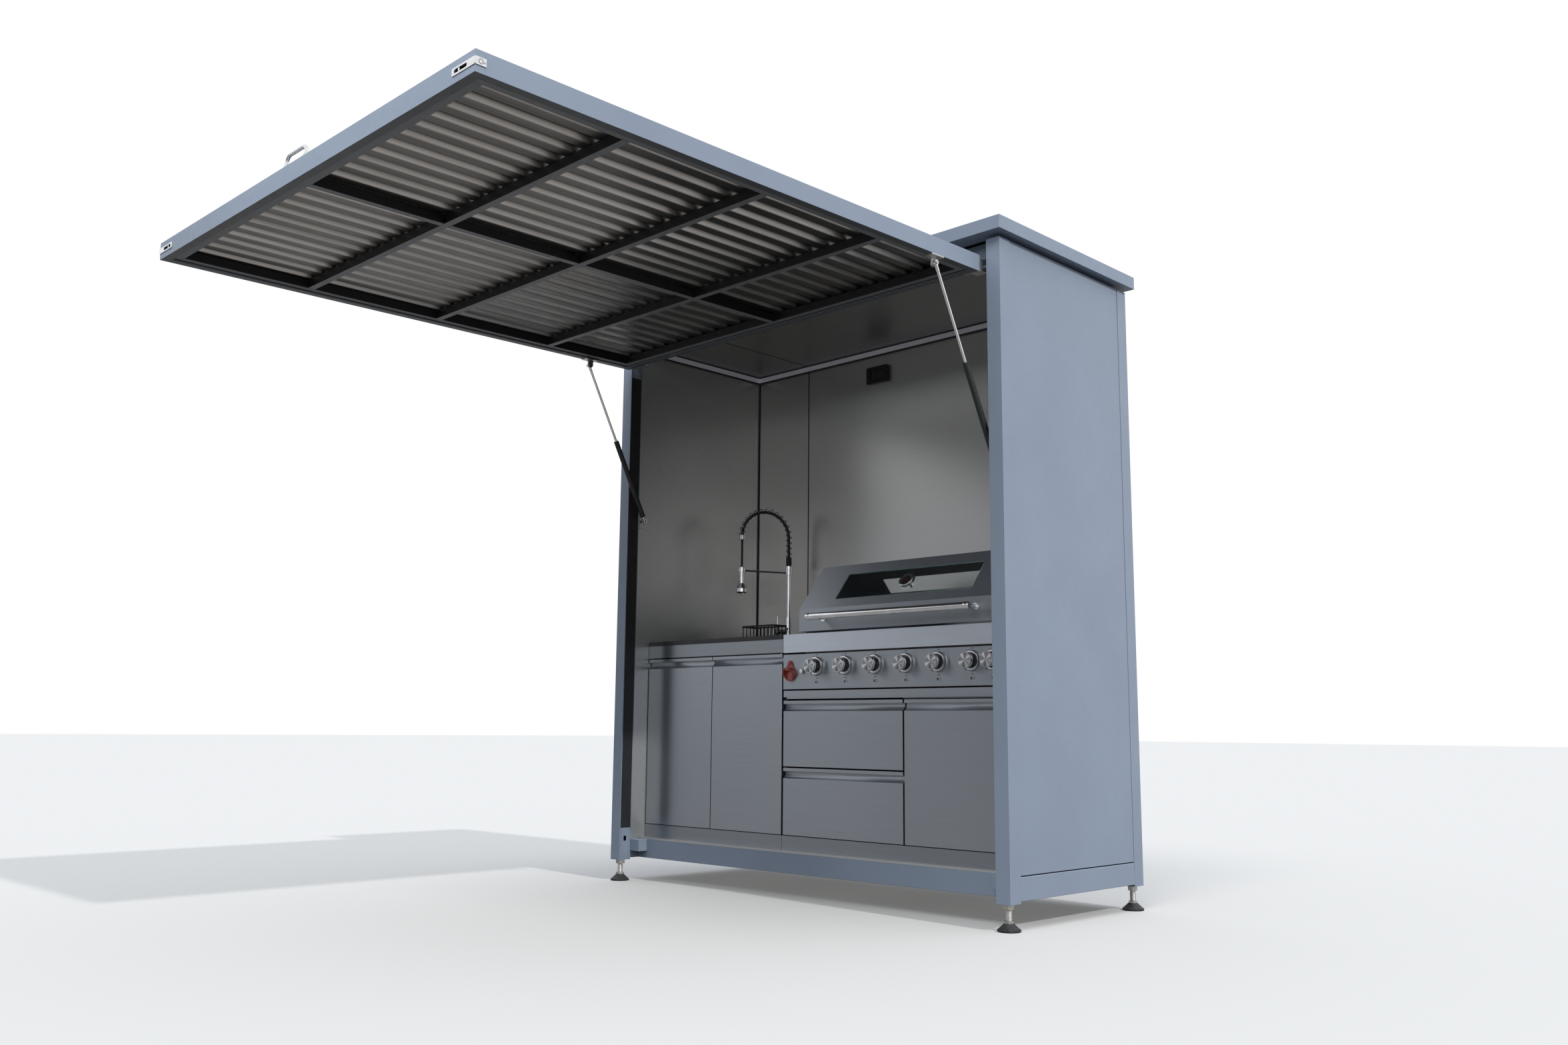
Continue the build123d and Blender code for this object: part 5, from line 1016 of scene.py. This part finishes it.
sun_rise, sun_front = radians(40), radians(4.5)
lamp("sun", (-cos(sun_rise) * cos(sun_front), cos(sun_rise) * sin(sun_front), -sin(sun_rise)), 1.9, 1.5)
lamp("bright_cloud", (-0.2, 0.62, -0.77), 1.2, 24.0, mirrored=False)

# Soft light on the canopy's front edge
fill = bpy.data.lights.new("canopy_fill", "AREA")
fill.energy = 12.0
fill.shape = "RECTANGLE"
fill.size = 2.0
fill.size_y = 0.5
fill.color = (0.86, 0.95, 1.0)
fill_spot = Vector((0.6, front_y - 3.1, 3.0))
fill_object = bpy.data.objects.new("canopy_fill", fill)
fill_object.matrix_world = place_at(fill_spot, X_AXIS, Vector((0, 0.6, 0.8)), Vector((0, -0.8, 0.6)))
fill_object.visible_glossy = False
scene.collection.objects.link(fill_object)


# Floor: pale where it is seen, and dimmer in the light that it throws back
def stage_mesh(name, corners, faces, material):
    """A plain surface that belongs to the studio and not to the object."""
    mesh = bpy.data.meshes.new(name)
    mesh.from_pydata(corners, [], faces)
    mesh.materials.append(material)
    thing = bpy.data.objects.new(name, mesh)
    scene.collection.objects.link(thing)
    return thing


def square(reach, z):
    """The corners of a level square about the origin, and its one face."""
    return [(-reach, -reach, z), (reach, -reach, z), (reach, reach, z), (-reach, reach, z)], [(0, 1, 2, 3)]


floor_material = bpy.data.materials.new("floor")
floor_material.use_nodes = True
tree = floor_material.node_tree
tree.nodes.clear()
pale = tree.nodes.new("ShaderNodeBsdfDiffuse")
pale.inputs["Color"].default_value = (0.46, 0.45, 0.43, 1.0)
glow = tree.nodes.new("ShaderNodeEmission")
glow.inputs["Strength"].default_value = 0.12
both = tree.nodes.new("ShaderNodeAddShader")
dim = tree.nodes.new("ShaderNodeBsdfDiffuse")
dim.inputs["Color"].default_value = (0.09, 0.089, 0.086, 1.0)
chosen = tree.nodes.new("ShaderNodeMixShader")
output = tree.nodes.new("ShaderNodeOutputMaterial")
tree.links.new(pale.outputs[0], both.inputs[0])
tree.links.new(glow.outputs[0], both.inputs[1])
tree.links.new(seen_rays(tree), chosen.inputs["Fac"])
tree.links.new(dim.outputs[0], chosen.inputs[1])
tree.links.new(both.outputs[0], chosen.inputs[2])
tree.links.new(chosen.outputs[0], output.inputs["Surface"])
floor_reach = 80.0
stage_mesh("floor", *square(floor_reach, 0), floor_material)


# Grey cards round the front and on the floor, which only the polished surfaces see
def flag(name, corners, faces, radiance):
    """A grey card that only polished surfaces see."""
    material = bpy.data.materials.new(name)
    material.use_nodes = True
    tree = material.node_tree
    tree.nodes.clear()
    light = tree.nodes.new("ShaderNodeEmission")
    light.inputs["Color"].default_value = (*radiance, 1.0)
    output = tree.nodes.new("ShaderNodeOutputMaterial")
    tree.links.new(light.outputs[0], output.inputs["Surface"])
    thing = stage_mesh(name, corners, faces, material)
    thing.visible_camera = False
    thing.visible_diffuse = False
    thing.visible_shadow = False
    thing.visible_transmission = False


def card(name, bearings, heights, radiance, steps=24):
    """An upright curved flag between two bearings, counted from +X towards +Y in degrees."""
    corners, faces = [], []
    for step in range(steps + 1):
        bearing = radians(bearings[0] + (bearings[1] - bearings[0]) * step / steps)
        for height in heights:
            corners.append((card_reach * cos(bearing), card_reach * sin(bearing), height))
    for step in range(steps):
        faces.append((2 * step, 2 * step + 2, 2 * step + 3, 2 * step + 1))
    flag(name, corners, faces, radiance)


card_reach = 9.0
card_bearings = {"left": (165, 227), "front": (227, 290), "right": (290, 352)}
card_heights = {"low": (0.0, 1.2), "middle": (1.2, 2.7), "high": (2.7, 3.6)}
card_radiances = {
    "left": {"low": (0.19, 0.195, 0.205), "middle": (0.80, 0.82, 0.86), "high": (0.28, 0.29, 0.305)},
    "front": {"low": (0.09, 0.093, 0.10), "middle": (0.40, 0.415, 0.45), "high": (0.20, 0.205, 0.215)},
    "right": {"low": (0.30, 0.30, 0.31), "middle": (1.2, 1.2, 1.2), "high": (0.40, 0.40, 0.41)},
}
for side, tiers in card_radiances.items():
    for tier, radiance in tiers.items():
        card(f"card_{side}_{tier}", card_bearings[side], card_heights[tier], radiance)
flag("card_floor", *square(card_reach, 0.002), (0.33, 0.325, 0.315))
